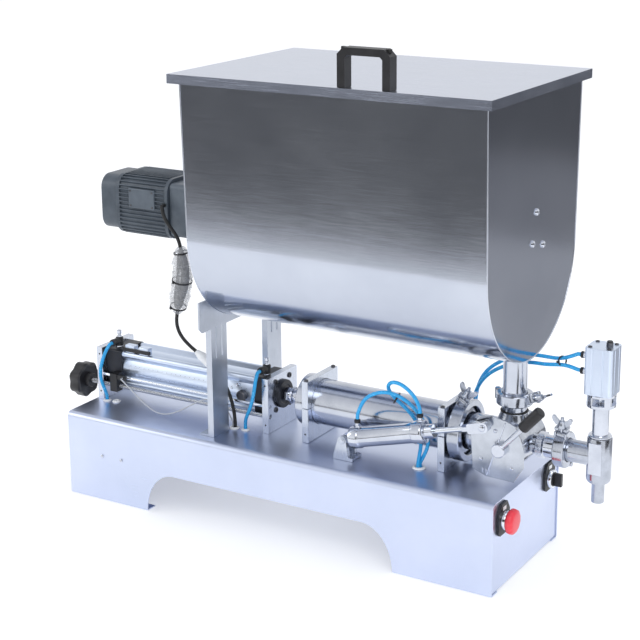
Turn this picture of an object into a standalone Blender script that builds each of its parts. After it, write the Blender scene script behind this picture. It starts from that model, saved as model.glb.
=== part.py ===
"""Bench-top piston liquid filler with a horizontal mixing hopper.

The machine stands on Z = 0 with its long side along X. It is laid out from the middle of its base and
moved along X at the end, so that its whole outline is centred. From left to right, on one line: stroke
handwheel, air cylinder, material cylinder, rotary valve, outlet pipe and nozzle. The hopper with its
mixer stands above them. All sizes are in metres.
"""

import math

import bmesh
import bpy
from mathutils import Matrix, Vector

# ---------------------------------------------------------------- driving dimensions
GAP = 0.0003  # left between pieces that touch

BASE_LENGTH = 0.815
BASE_WIDTH = 0.251
BASE_HEIGHT = 0.150
SHEET = 0.002
FOLD_RADIUS = 0.009
FOOT_FLANGE = 0.022
ARCH_LEFT = -0.240
ARCH_RIGHT = 0.236
ARCH_HEIGHT = 0.073
ARCH_CORNER = 0.056

LINE_Z = 0.209  # height of the filling line: cylinders, valve and outlet
LINE_PLATE_HALF = 0.048
DECK_Z = BASE_HEIGHT + GAP

AIR_HALF = 0.033
AIR_BORE = 0.025
AIR_LEFT = -0.3907
AIR_RIGHT = -0.0548
REAR_PLATE = (-0.4030, -0.3910)
FRONT_PLATE = (-0.0545, -0.0425)
AIR_PLATE_HALF = 0.045
PLATE_TOP = 0.246
PISTON_ROD_RADIUS = 0.008

TUBE_OUTER = 0.038
TUBE_INNER = 0.035
TUBE_LEFT = 0.008
TUBE_RIGHT = 0.3000
REAR_SUPPORT = (0.0250, 0.0370)
FRONT_SUPPORT = (0.2740, 0.2860)
SUPPORT_TOP = 0.256

SCREW_Y = -0.0385
SCREW_Z = 0.179
GUIDE_Z = 0.196
CARRIAGE_X = -0.365

VALVE_X = 0.3825
VALVE_RADIUS = 0.037
VALVE_HALF = 0.042
ROTOR_RADIUS = 0.0257
PORT_RADIUS = 0.012
CRANK_Y = -0.0470  # rear face of the crank plate
CRANK_SHEET = 0.003
CRANK_FOLD_SLOPE = math.tan(math.radians(12))
LEVER_ANGLE = math.radians(48)
LEVER_Y = -0.0570
CRANK_PIN_X = 0.3625
CRANK_PIN_Z = 0.2473

ACTUATOR_Y = -0.0680
FOOT_PIN_X = 0.1210
FOOT_PIN_Z = 0.1830
ACTUATOR_TILT = math.atan2(CRANK_PIN_Z - FOOT_PIN_Z, CRANK_PIN_X - FOOT_PIN_X)
ACTUATOR_REACH = math.hypot(CRANK_PIN_Z - FOOT_PIN_Z, CRANK_PIN_X - FOOT_PIN_X)
BARREL_RADIUS = 0.0165

NOZZLE_X = 0.523

HOPPER_LEFT = -0.1127
HOPPER_RIGHT = 0.4076
HOPPER_TOP = 0.7627
HOPPER_TOP_HALF = 0.169
HOPPER_RADIUS = 0.1615
HOPPER_AXIS_Z = 0.5046
LID_LEFT = -0.127
LID_RIGHT = 0.419
LID_HALF = 0.182
LID_TOP = 0.765
LID_RIM = 0.0145

MIXER_Z = 0.512
MIXER_SHAFT_RADIUS = 0.009
PADDLE_REACH = 0.143
MOTOR_HALF = 0.052
GEARBOX_HALF = 0.0455

STAND_FRONT = HOPPER_LEFT - GAP
STAND_THICK = 0.003
HOSE_RADIUS = 0.003
CABLE_RADIUS = 0.003
WIRE_RADIUS = 0.0012
GROMMET_FOOT = 0.1385
CENTRE_SHIFT = -0.0465  # moves the machine so that its outline is centred on X = 0

# ---------------------------------------------------------------- materials
COLOURS = {
    # name: (colour, roughness, metallic)
    "brushed_stainless": ((0.62, 0.62, 0.64), 0.32, 1.0),
    "polished_stainless": ((0.75, 0.75, 0.77), 0.12, 1.0),
    "deck_stainless": ((0.52, 0.53, 0.57), 0.25, 1.0),
    "anodised_aluminium": ((0.80, 0.82, 0.87), 0.35, 1.0),
    "black_anodised": ((0.03, 0.03, 0.04), 0.40, 0.3),
    "black_plastic": ((0.012, 0.012, 0.014), 0.45, 0.0),
    "white_plastic": ((0.85, 0.85, 0.83), 0.45, 0.0),
    "red_plastic": ((0.70, 0.03, 0.03), 0.35, 0.0),
    "motor_paint": ((0.16, 0.19, 0.23), 0.45, 0.2),
    "blue_hose": ((0.05, 0.42, 0.85), 0.30, 0.0),
    "grey_wire": ((0.45, 0.46, 0.47), 0.50, 0.0),
    "seal_rubber": ((0.02, 0.02, 0.02), 0.60, 0.0),
}


def own_material(node, kind):
    """A Principled material of the node's own, in one of the machine's finishes."""
    colour, roughness, metallic = COLOURS[kind]
    made = bpy.data.materials.new(node)
    made.use_nodes = True
    shader = made.node_tree.nodes["Principled BSDF"]
    shader.inputs["Base Color"].default_value = (*colour, 1.0)
    shader.inputs["Roughness"].default_value = roughness
    shader.inputs["Metallic"].default_value = metallic
    made.diffuse_color = (*colour, 1.0)
    return made


# ---------------------------------------------------------------- modelling helpers
AXES = {
    "X": Matrix(((0, 0, 1), (1, 0, 0), (0, 1, 0))).to_4x4(),
    "Y": Matrix(((0, 1, 0), (0, 0, 1), (1, 0, 0))).to_4x4(),
    "Z": Matrix.Identity(4),
}


def finish_mesh(name, bm, kind=None, origin=(0, 0, 0)):
    """Turns a bmesh in world metres into an object whose origin is at the given point."""
    bmesh.ops.recalc_face_normals(bm, faces=bm.faces[:])
    bmesh.ops.translate(bm, verts=bm.verts[:], vec=-Vector(origin))
    mesh = bpy.data.meshes.new(name)
    bm.to_mesh(mesh)
    bm.free()
    made = bpy.data.objects.new(name, mesh)
    made.location = origin
    bpy.context.scene.collection.objects.link(made)
    mesh.shade_smooth()
    mesh.set_sharp_from_angle(angle=math.radians(32))
    if kind:
        mesh.materials.append(own_material(name, kind))
    return made


def ring_profile(bm, profile, axis, centre, segments):
    """Turns a profile of (radius, distance along the axis) points round an axis through centre."""
    closed = profile[0][0] > 0 and profile[-1][0] > 0
    place = Matrix.Translation(centre) @ AXES[axis]
    rings = []
    for radius, along in profile:
        if radius <= 0:
            rings.append([bm.verts.new(place @ Vector((0, 0, along)))])
            continue
        ring = []
        for step in range(segments):
            turn = 2 * math.pi * (step + 0.5) / segments
            point = Vector((radius * math.cos(turn), radius * math.sin(turn), along))
            ring.append(bm.verts.new(place @ point))
        rings.append(ring)
    pairs = list(zip(rings, rings[1:]))
    if closed:
        pairs.append((rings[-1], rings[0]))
    for one, two in pairs:
        if len(one) == len(two) == 1:
            continue
        for step in range(segments):
            after = (step + 1) % segments
            if len(one) == 1:
                bm.faces.new((one[0], two[step], two[after]))
            elif len(two) == 1:
                bm.faces.new((one[step], two[0], one[after]))
            else:
                bm.faces.new((one[step], two[step], two[after], one[after]))


def turned(name, profile, axis, centre, kind=None, segments=16, origin=(0, 0, 0)):
    bm = bmesh.new()
    ring_profile(bm, profile, axis, centre, segments)
    return finish_mesh(name, bm, kind, origin)


def rod(name, radius, start, end, axis, centre, kind=None, segments=16, origin=(0, 0, 0)):
    profile = [(0, start), (radius, start), (radius, end), (0, end)]
    return turned(name, profile, axis, centre, kind, segments, origin)


def tube(name, outer, inner, start, end, axis, centre, kind=None, segments=16, origin=(0, 0, 0)):
    profile = [(outer, start), (outer, end), (inner, end), (inner, start)]
    return turned(name, profile, axis, centre, kind, segments, origin)


def box(name, low, high, kind=None, origin=(0, 0, 0), bevel=0.0):
    bm = bmesh.new()
    bmesh.ops.create_cube(bm, size=1.0)
    for vert in bm.verts:
        vert.co = Vector(
            [low[i] if vert.co[i] < 0 else high[i] for i in range(3)]
        )
    if bevel:
        bmesh.ops.bevel(bm, geom=bm.edges[:], offset=bevel, segments=1, affect="EDGES")
    return finish_mesh(name, bm, kind, origin)


def prism(name, outline, axis, start, end, kind=None, origin=(0, 0, 0)):
    """An outline swept along an axis. The outline is in (Y, Z), (X, Z) or (X, Y)."""
    def place(point, along):
        if axis == "X":
            return Vector((along, point[0], point[1]))
        if axis == "Y":
            return Vector((point[0], along, point[1]))
        return Vector((point[0], point[1], along))

    bm = bmesh.new()
    near = [bm.verts.new(place(point, start)) for point in outline]
    far = [bm.verts.new(place(point, end)) for point in outline]
    bm.faces.new(near)
    bm.faces.new(list(reversed(far)))
    for step in range(len(outline)):
        after = (step + 1) % len(outline)
        bm.faces.new((near[step], far[step], far[after], near[after]))
    return finish_mesh(name, bm, kind, origin)


def combine(target, operation, *others):
    """Joins other solids to the target or cuts them from it."""
    for other in others:
        step = target.modifiers.new(f"{operation.lower()}_{other.name}", "BOOLEAN")
        step.operation = operation
        step.solver = "EXACT"
        step.object = other
        other.hide_render = True
        other.display_type = "WIRE"


def join(target, *others):
    combine(target, "UNION", *others)


def cut(target, *others):
    combine(target, "DIFFERENCE", *others)


def arc(centre, radius, start, end, steps):
    """Points on an arc, angles in degrees."""
    points = []
    for step in range(steps + 1):
        turn = math.radians(start + (end - start) * step / steps)
        points.append((centre[0] + radius * math.cos(turn), centre[1] + radius * math.sin(turn)))
    return points


def rounded_square(half, radius, steps=3, centre=(0, 0)):
    inner = half - radius
    points = []
    for corner, (sy, sz) in enumerate(((1, 1), (-1, 1), (-1, -1), (1, -1))):
        middle = (centre[0] + sy * inner, centre[1] + sz * inner)
        points += arc(middle, radius, 90 * corner, 90 * corner + 90, steps)
    return points


def smooth_route(points, spacing):
    """Even points on a smooth (Catmull-Rom) curve through a route that was set out by hand."""
    knots = [Vector(point) for point in points]
    knots = [knots[0] * 2 - knots[1]] + knots + [knots[-1] * 2 - knots[-2]]
    fine = []
    for index in range(1, len(knots) - 2):
        before, one, two, after = knots[index - 1:index + 3]
        for step in range(12):
            t = step / 12
            fine.append(0.5 * (
                one * 2
                + (two - before) * t
                + (before * 2 - one * 5 + two * 4 - after) * t ** 2
                + (one * 3 - before - two * 3 + after) * t ** 3
            ))
    fine.append(knots[-2])
    travelled = [0.0]
    for one, two in zip(fine, fine[1:]):
        travelled.append(travelled[-1] + (two - one).length)
    count = max(2, round(travelled[-1] / spacing))
    route = []
    for step in range(count + 1):
        target = travelled[-1] * step / count
        index = min(sum(1 for done in travelled[1:] if done < target), len(fine) - 2)
        share = (target - travelled[index]) / (travelled[index + 1] - travelled[index])
        route.append(fine[index].lerp(fine[index + 1], share))
    return route


def cord(name, points, radius, kind, bundle=None):
    """A cord's solid: straight out of its fitting, and straight down through its grommet.

    bundle gives (lowest height, highest height, times thicker) where the cable is coiled up and wrapped.
    """
    curve = bpy.data.curves.new(name, "CURVE")
    curve.dimensions = "3D"
    curve.bevel_depth = radius
    curve.bevel_resolution = 2
    curve.use_fill_caps = True
    route = [Vector(points[0])] + smooth_route(points[1:], 6 * radius)
    x, y, _ = points[-1]
    route.append(Vector((x, y, GROMMET_FOOT)))
    spline = curve.splines.new("POLY")
    spline.points.add(len(route) - 1)
    for place, point in zip(route, spline.points):
        point.co = (*place, 1.0)
        if bundle and bundle[0] < place.z < bundle[1]:
            point.radius = bundle[2]
    curve.materials.append(own_material(name, kind))
    made = bpy.data.objects.new(name, curve)
    bpy.context.scene.collection.objects.link(made)
    return made


# ---------------------------------------------------------------- base cabinet
GROMMETS = {
    # the grommet's holes in the deck: (x, y, bore radius)
    "grommets_left": ((-0.3815, -0.0480, 0.0034), (-0.3640, -0.0445, 0.0034)),
    "grommets_middle": ((-0.1086, -0.0489, 0.0048), (-0.0872, -0.0474, 0.0034)),
    "grommet_actuator": ((0.2433, -0.0502, 0.0067),),
    "grommet_nozzle": ((0.2830, 0.0680, 0.0067),),
}
NECK_WALL = 0.0016
COLLAR_WALL = 0.0040


def base_outline():
    """The folded sheet seen from its end: deck, two sides and two inward foot flanges."""
    half, top, turn = BASE_WIDTH / 2, BASE_HEIGHT, FOLD_RADIUS
    outer = [(half - FOOT_FLANGE, 0), (half, 0)]
    outer += arc((half - turn, top - turn), turn, 0, 90, 5)
    outer += [(-y, z) for y, z in reversed(outer)]
    inner_half, inner_top, inner_turn = half - SHEET, top - SHEET, turn - SHEET
    inner = [(half - FOOT_FLANGE, SHEET), (inner_half, SHEET)]
    inner += arc((inner_half - inner_turn, inner_top - inner_turn), inner_turn, 0, 90, 5)
    inner += [(-y, z) for y, z in reversed(inner)]
    return outer + list(reversed(inner))


def arch_outline():
    """The opening between the feet: straight across the top, a quarter ellipse at each end."""
    steps = 7
    points = [(ARCH_LEFT, -0.02)]
    for step in range(steps + 1):
        turn = math.pi / 2 * step / steps
        points.append((ARCH_LEFT + ARCH_CORNER * (1 - math.cos(turn)), ARCH_HEIGHT * math.sin(turn)))
    for step in range(steps, -1, -1):
        turn = math.pi / 2 * step / steps
        points.append((ARCH_RIGHT - ARCH_CORNER * (1 - math.cos(turn)), ARCH_HEIGHT * math.sin(turn)))
    points.append((ARCH_RIGHT, -0.02))
    return points


def make_base():
    half = BASE_LENGTH / 2
    housing = prism("base_housing", base_outline(), "X", -half, half, "brushed_stainless")
    cut(housing, prism("cut_arch", arch_outline(), "Y", -0.2, 0.2))
    holes = bmesh.new()
    for rings in GROMMETS.values():
        for x, y, bore in rings:
            radius = bore + NECK_WALL + GAP
            profile = [(0, 0.14), (radius, 0.14), (radius, 0.16), (0, 0.16)]
            ring_profile(holes, profile, "Z", (x, y, 0), 12)
    cut(housing, finish_mesh("cut_grommet_holes", holes))

    panel_half = BASE_WIDTH / 2 - SHEET - GAP
    panel_top = BASE_HEIGHT - SHEET - GAP
    corner = FOLD_RADIUS - SHEET
    outline = [(panel_half, SHEET + GAP)]
    outline += arc((panel_half - corner, panel_top - corner), corner, 0, 90, 3)
    outline += [(-y, z) for y, z in reversed(outline)]
    left = -half + SHEET
    prism("end_panel_left", outline, "X", left, left + SHEET, "brushed_stainless")
    right = prism("end_panel_right", outline, "X", half - 2 * SHEET, half - SHEET, "brushed_stainless")
    face = half - SHEET
    cut(right, rod("cut_estop_hole", 0.0115, face - 0.02, face + 0.01, "X", (0, *ESTOP)))
    cut(right, rod("cut_selector_hole", 0.0115, face - 0.02, face + 0.01, "X", (0, *SELECTOR)))


def make_grommets():
    under = BASE_HEIGHT - SHEET - GAP
    for name, rings in GROMMETS.items():
        solids = []
        for index, (x, y, bore) in enumerate(rings):
            neck, collar = bore + NECK_WALL, bore + COLLAR_WALL
            profile = [
                (bore, 0.1405), (neck, 0.1405), (neck, DECK_Z), (collar, DECK_Z),
                (collar, DECK_Z + 0.0020), (neck, DECK_Z + 0.0032), (bore, DECK_Z + 0.0032),
            ]
            label = name if index == 0 else f"add_{name}"
            solids.append(turned(label, profile, "Z", (x, y, 0), "white_plastic", 12, (x, y, 0.15)))
        if len(rings) == 2:
            (x0, y0, bore0), (x1, y1, bore1) = rings
            low = (x0 + bore0 + 0.0008, min(y0, y1) - 0.002, 0.1405)
            high = (x1 - bore1 - 0.0008, max(y0, y1) + 0.002, under - 0.003)
            join(solids[0], solids[1], box(f"add_bridge_{name}", low, high))


# ---------------------------------------------------------------- operator controls
ESTOP = (-0.089, 0.114)
SELECTOR = (0.085, 0.118)


def make_controls():
    face = BASE_LENGTH / 2 - SHEET
    estop_plate = [(ESTOP[0] + y, ESTOP[1] + z) for y, z in (
        (-0.019, -0.017), (-0.014, -0.022), (0.014, -0.022), (0.019, -0.017),
        (0.019, 0.014), (0.010, 0.028), (-0.010, 0.028), (-0.019, 0.014),
    )]
    start = face + GAP
    plate = prism("estop_plate", estop_plate, "X", start, start + 0.004, "black_plastic")
    cut(plate, rod("cut_estop_bore", 0.0105, face - 0.01, face + 0.02, "X", (0, *ESTOP)))
    stem = face - 0.020
    cap = face + 0.0115
    profile = [
        (0, stem), (0.0100, stem), (0.0100, cap), (0.0170, cap), (0.0200, cap + 0.0030),
        (0.0200, cap + 0.0080), (0.0165, cap + 0.0115), (0, cap + 0.0125),
    ]
    turned("estop_button", profile, "X", (0, *ESTOP), "red_plastic", 18, (face, *ESTOP))

    selector_plate = [(SELECTOR[0] + y, SELECTOR[1] + z) for y, z in (
        (-0.019, -0.013), (-0.014, -0.018), (0.014, -0.018), (0.019, -0.013),
        (0.019, 0.014), (0.010, 0.028), (-0.010, 0.028), (-0.019, 0.014),
    )]
    plate = prism("selector_plate", selector_plate, "X", start, start + 0.004, "black_plastic")
    cut(plate, rod("cut_selector_bore", 0.0105, face - 0.01, face + 0.02, "X", (0, *SELECTOR)))
    knob = face + 0.0055
    profile = [
        (0, stem), (0.0100, stem), (0.0100, knob), (0.0125, knob),
        (0.0125, knob + 0.004), (0.0110, knob + 0.006), (0, knob + 0.006),
    ]
    knob_body = turned("selector_knob", profile, "X", (0, *SELECTOR), "black_plastic", 16, (face, *SELECTOR))
    low = (knob + 0.004, SELECTOR[0] - 0.0035, SELECTOR[1] - 0.0108)
    high = (knob + 0.019, SELECTOR[0] + 0.0035, SELECTOR[1] + 0.0108)
    join(knob_body, box("add_selector_grip", low, high))


def make_valve_block():
    """The air valve manifold that hangs under the deck."""
    top = BASE_HEIGHT - SHEET - GAP
    block = box("air_valve_block", (-0.060, -0.030, top - 0.026), (0.070, 0.030, top), "anodised_aluminium")
    for index, x in enumerate((-0.042, -0.012, 0.018, 0.048)):
        coil = box(f"add_coil_{index}", (x - 0.011, -0.044, top - 0.022), (x + 0.011, 0.044, top - 0.004))
        join(block, coil)


# ---------------------------------------------------------------- air cylinder and stroke setting
def plate_between(name, span, half, top, hole_radius):
    outline = [(-half, DECK_Z), (half, DECK_Z), (half, top), (-half, top)]
    plate = prism(name, outline, "X", span[0], span[1], "brushed_stainless")
    start, end = span[0] - 0.01, span[1] + 0.01
    if hole_radius:
        cut(plate, rod(f"cut_{name}_bore", hole_radius, start, end, "X", (0, 0, LINE_Z), None, 20))
    cut(plate, rod(f"cut_{name}_screw", 0.0043, start, end, "X", (0, SCREW_Y, SCREW_Z)))
    cut(plate, rod(f"cut_{name}_guide", 0.0033, start, end, "X", (0, SCREW_Y, GUIDE_Z)))
    return plate


def barrel_outline():
    """Round barrel with four tie-rod ribs at its corners."""
    wall, rib_centre, rib = 0.0300, 0.0365, 0.0062
    reach = math.degrees(math.asin(rib / rib_centre))
    points = []
    for corner in range(4):
        middle = 45 + 90 * corner
        for step in range(7):
            offset = math.radians(reach * 0.98 * (-1 + 2 * step / 6))
            along = rib_centre * math.cos(offset)
            along += math.sqrt(max(0, rib ** 2 - (rib_centre * math.sin(offset)) ** 2))
            turn = math.radians(middle) + offset
            points.append((along * math.cos(turn), LINE_Z + along * math.sin(turn)))
        points += arc((0, LINE_Z), wall, middle + reach + 4, middle + 90 - reach - 4, 6)
    return points


def elbow(name, x, top):
    """A banjo fitting on top of a cylinder cap: a post and a short outlet towards the front."""
    post = rod(f"add_{name}_post", 0.0065, top - 0.003, top + 0.020, "Z", (x, -0.016, 0), None, 10)
    outlet = rod(f"add_{name}_outlet", 0.0055, -0.036, -0.015, "Y", (x, 0, top + 0.0128), None, 9)
    needle = rod(f"add_{name}_needle", 0.0035, top + 0.015, top + 0.032, "Z", (x, -0.0163, 0), None, 7)
    return post, outlet, needle


FITTING_REAR_X = -0.3740
FITTING_FRONT_X = -0.0630


def make_air_cylinder():
    plate_between("cylinder_rear_plate", REAR_PLATE, AIR_PLATE_HALF, PLATE_TOP, 0)
    plate_between("cylinder_front_plate", FRONT_PLATE, AIR_PLATE_HALF, PLATE_TOP, 0.0245)

    cap_top = LINE_Z + AIR_HALF
    square = rounded_square(AIR_HALF, 0.005, 2, (0, LINE_Z))
    rear_end = AIR_LEFT + 0.0327
    front_start = AIR_RIGHT - 0.023
    rear = prism("air_rear_cap", square, "X", AIR_LEFT, rear_end, "black_anodised")
    join(rear, *elbow("rear", FITTING_REAR_X, cap_top))
    front = prism("air_front_cap", square, "X", front_start, AIR_RIGHT, "black_anodised")
    gland = FRONT_PLATE[1] + 0.006
    join(front, rod("add_front_boss", 0.0242, AIR_RIGHT - 0.004, gland, "X", (0, 0, LINE_Z), None, 20))
    join(front, *elbow("front", FITTING_FRONT_X, cap_top))
    bore = PISTON_ROD_RADIUS + GAP
    cut(front, rod("cut_front_cap", bore, front_start - 0.01, 0, "X", (0, 0, LINE_Z), None, 16))

    barrel = prism(
        "air_barrel", barrel_outline(), "X", rear_end + GAP, front_start - GAP, "anodised_aluminium"
    )
    cut(barrel, rod("cut_air_bore", AIR_BORE, -0.40, -0.05, "X", (0, 0, LINE_Z), None, 20))

    head = -0.3450
    rod_end = -0.0050
    r = PISTON_ROD_RADIUS
    profile = [
        (0, head), (AIR_BORE - GAP, head), (AIR_BORE - GAP, head + 0.020), (r, head + 0.020),
        (r, -0.0345), (0.0125, -0.0345), (0.0125, -0.0255), (r, -0.0255),
        (r, -0.0225), (0.0145, -0.0225), (0.0145, rod_end), (0, rod_end),
    ]
    turned("air_piston_rod", profile, "X", (0, 0, LINE_Z), "polished_stainless", 20, (head, 0, LINE_Z))


def make_stroke_setting():
    lobes, points = 7, 42
    outline = []
    for step in range(points):
        turn = 2 * math.pi * step / points
        radius = 0.0305 + 0.0015 * math.cos(lobes * turn)
        outline.append((SCREW_Y + radius * math.cos(turn), SCREW_Z + radius * math.sin(turn)))
    origin = (-0.450, SCREW_Y, SCREW_Z)
    wheel = prism("handwheel", outline, "X", -0.4520, -0.4280, "black_plastic", origin)
    join(wheel, rod("add_handwheel_hub", 0.0120, -0.4290, -0.4200, "X", (0, SCREW_Y, SCREW_Z)))
    cut(wheel, rod("cut_handwheel", 0.0043, -0.4450, -0.4100, "X", (0, SCREW_Y, SCREW_Z)))
    metal = "polished_stainless"
    rod("stroke_screw", 0.0040, -0.4445, -0.0450, "X", (0, SCREW_Y, SCREW_Z), metal, 12, origin)
    rod("guide_rod", 0.0030, -0.4020, -0.0450, "X", (0, SCREW_Y, GUIDE_Z), metal, 8)

    half = 0.0075
    carriage = box(
        "sensor_carriage", (CARRIAGE_X - half, SCREW_Y - 0.0110, SCREW_Z - 0.0085),
        (CARRIAGE_X + half, SCREW_Y + 0.0050, GUIDE_Z + 0.0070), "black_plastic",
        (CARRIAGE_X, SCREW_Y, SCREW_Z),
    )
    sensor_low = (CARRIAGE_X + half - 0.001, SCREW_Y - 0.0100, GUIDE_Z - 0.0020)
    sensor_high = (CARRIAGE_X + 0.027, SCREW_Y - 0.0065, GUIDE_Z + 0.0060)
    join(carriage, box("add_sensor", sensor_low, sensor_high))
    start, end = CARRIAGE_X - 0.02, CARRIAGE_X + 0.05
    cut(carriage, rod("cut_carriage_screw", 0.0043, start, end, "X", (0, SCREW_Y, SCREW_Z)))
    cut(carriage, rod("cut_carriage_guide", 0.0033, start, end, "X", (0, SCREW_Y, GUIDE_Z), None, 8))


# ---------------------------------------------------------------- material cylinder
def make_support(name, span):
    """One clamp plate round the material cylinder, split on the cylinder's axis."""
    half = LINE_PLATE_HALF
    parts = (
        (f"{name}_lower", DECK_Z, LINE_Z - GAP),
        (f"{name}_upper", LINE_Z + GAP, SUPPORT_TOP),
    )
    for label, low, high in parts:
        block = box(label, (span[0], -half, low), (span[1], half, high), "brushed_stainless")
        start, end = span[0] - 0.01, span[1] + 0.01
        bore = rod(f"cut_{label}", TUBE_OUTER + GAP, start, end, "X", (0, 0, LINE_Z), None, 24)
        cut(block, bore)


def make_material_cylinder():
    make_support("rear_clamp", REAR_SUPPORT)
    make_support("front_clamp", FRONT_SUPPORT)
    collar = REAR_SUPPORT[0] - 0.0004
    profile = [
        (0.0435, TUBE_LEFT), (0.0435, collar), (TUBE_OUTER, collar), (TUBE_OUTER, 0.2950),
        (0.0440, 0.2970), (0.0440, TUBE_RIGHT), (TUBE_INNER, TUBE_RIGHT), (TUBE_INNER, TUBE_LEFT),
    ]
    turned("material_cylinder", profile, "X", (0, 0, LINE_Z), "polished_stainless", 24)

    start = -0.0050 + GAP
    head, face, groove = 0.044, 0.072, TUBE_INNER - 0.0036
    wide = TUBE_INNER - GAP
    profile = [
        (0, start), (0.0100, start), (0.0100, head), (wide, head), (wide, head + 0.009),
        (groove, head + 0.009), (groove, head + 0.017), (wide, head + 0.017), (wide, face), (0, face),
    ]
    turned("material_piston", profile, "X", (0, 0, LINE_Z), "polished_stainless", 24, (start, 0, LINE_Z))
    low, high = head + 0.009 + GAP, head + 0.017 - GAP
    origin = (low, 0, LINE_Z)
    outer, inner = TUBE_INNER - 0.0001, groove + GAP
    tube("piston_seal", outer, inner, low, high, "X", (0, 0, LINE_Z), "seal_rubber", 24, origin)


def clamp_ring(name, axis, centre, inner, groove, outer, width, kind="polished_stainless"):
    """A sanitary clamp: a ring with a V groove over the two flanges that it draws together."""
    half, lip = width / 2, 0.0055
    profile = [
        (outer, -half), (outer, half), (inner, half), (inner, half - 0.002),
        (groove, lip), (groove, -lip), (inner, 0.002 - half), (inner, -half),
    ]
    return turned(name, profile, axis, centre, kind, 20)


# ---------------------------------------------------------------- rotary valve
def make_valve():
    centre = (VALVE_X, 0, LINE_Z)
    body = rod("valve_body", VALVE_RADIUS, -VALVE_HALF, VALVE_HALF, "Y", centre, "brushed_stainless", 24)
    left = TUBE_RIGHT + GAP
    neck = [
        (0, left), (0.0440, left), (0.0440, left + 0.003),
        (0.0300, left + 0.006), (0.0300, VALVE_X), (0, VALVE_X),
    ]
    join(body, turned("add_left_neck", neck, "X", (0, 0, LINE_Z), None, 20))
    top = HOPPER_FERRULE - GAP
    neck = [
        (0, LINE_Z), (0.0190, LINE_Z), (0.0190, top - 0.006),
        (0.0240, top - 0.003), (0.0240, top), (0, top),
    ]
    join(body, turned("add_top_neck", neck, "Z", (VALVE_X, 0, 0), None, 18))
    join(body, rod("add_right_neck", 0.0150, VALVE_X, 0.4250, "X", (0, 0, LINE_Z), None, 16))
    chamber = ROTOR_RADIUS + 2 * GAP
    cut(body, rod("cut_chamber", chamber, -VALVE_HALF - 0.01, VALVE_HALF - 0.005, "Y", centre, None, 20))
    cut(body, rod("cut_left_port", 0.0170, left - 0.01, VALVE_X, "X", (0, 0, LINE_Z), None, 16))
    cut(body, rod("cut_right_port", PORT_RADIUS, VALVE_X, 0.45, "X", (0, 0, LINE_Z), None, 14))
    cut(body, rod("cut_top_port", 0.0140, LINE_Z, top + 0.01, "Z", (VALVE_X, 0, 0), None, 14))

    front = -VALVE_HALF - GAP
    profile = [
        (0, VALVE_HALF - 0.0055), (ROTOR_RADIUS, VALVE_HALF - 0.0055), (ROTOR_RADIUS, front),
        (0.0380, front), (0.0380, front - 0.0035), (0.0080, front - 0.0035),
        (0.0080, CRANK_Y + GAP), (0, CRANK_Y + GAP),
    ]
    rotor = turned("valve_rotor", profile, "Y", centre, "polished_stainless", 20, centre)
    reach = ROTOR_RADIUS + 0.01
    start, end = VALVE_X - reach, VALVE_X + reach
    through = rod("cut_rotor_through", PORT_RADIUS, start, end, "X", (0, 0, LINE_Z), None, 14)
    start, end = LINE_Z - reach, LINE_Z
    branch = rod("cut_rotor_branch", PORT_RADIUS, start, end, "Z", (VALVE_X, 0, 0), None, 14)
    cut(rotor, through, branch)


def make_crank():
    """Folded crank plate with its hub, hand lever and the boss that the actuator drives."""
    right_side = [
        (0.0085, 0.0460), (0.0245, 0.0400), (0.0340, 0.0220), (0.0385, 0.0050),
        (0.0390, -0.0240), (0.0235, -0.0500), (-0.0230, -0.0490),
    ]
    left_side = [(-0.0440, -0.0380), (-0.0465, 0.0320), (-0.0305, 0.0510), (-0.0125, 0.0530)]
    fold_top, fold_foot = Vector(right_side[0]), Vector(right_side[-1])
    fold = (fold_foot - fold_top).normalized()

    def left_of_fold(point):
        return fold.x * (point.y - fold_top.y) - fold.y * (point.x - fold_top.x)

    outline = [Vector(point) for point in right_side + left_side]
    sign = -1 if left_of_fold(Vector(left_side[1])) < 0 else 1

    def place(point, depth):
        lean = max(0, sign * left_of_fold(point)) * CRANK_FOLD_SLOPE
        return Vector((VALVE_X + point.x, CRANK_Y - depth - lean, LINE_Z + point.y))

    bm = bmesh.new()
    back = [bm.verts.new(place(point, 0)) for point in outline]
    front = [bm.verts.new(place(point, CRANK_SHEET)) for point in outline]
    right = len(right_side)
    for side in (back, front):
        bm.faces.new(side[:right])
        bm.faces.new([side[right - 1]] + side[right:] + [side[0]])
    for step in range(len(outline)):
        after = (step + 1) % len(outline)
        bm.faces.new((back[step], front[step], front[after], back[after]))
    origin = (VALVE_X, 0, LINE_Z)
    plate = finish_mesh("crank_plate", bm, "brushed_stainless", origin)

    hub = rod("add_hub", 0.0110, -0.0612, CRANK_Y - 0.0005, "Y", (VALVE_X, 0, LINE_Z), None, 16)
    boss = rod("add_crank_boss", 0.0070, -0.0609, -0.0530, "Y", (CRANK_PIN_X, 0, CRANK_PIN_Z), None, 12)
    lever = bmesh.new()
    ring_profile(lever, [(0, 0.004), (0.0038, 0.004), (0.0038, 0.094), (0, 0.094)], "X", (0, 0, 0), 12)
    turn = Matrix.Translation((VALVE_X, LEVER_Y, LINE_Z)) @ Matrix.Rotation(-LEVER_ANGLE, 4, "Y")
    bmesh.ops.transform(lever, matrix=turn, verts=lever.verts[:])
    join(plate, hub, boss, finish_mesh("add_lever", lever))

    grip = bmesh.new()
    profile = [
        (0.0042, 0.058), (0.0085, 0.058), (0.0090, 0.0595), (0.0090, 0.1005),
        (0.0080, 0.102), (0, 0.102), (0, 0.0945), (0.0042, 0.0945),
    ]
    ring_profile(grip, profile, "X", (0, 0, 0), 20)
    bmesh.ops.transform(grip, matrix=turn, verts=grip.verts[:])
    finish_mesh("lever_grip", grip, "black_plastic", origin)


# ---------------------------------------------------------------- valve actuator
ACTUATOR_PORTS = (0.0215, 0.1375)


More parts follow.
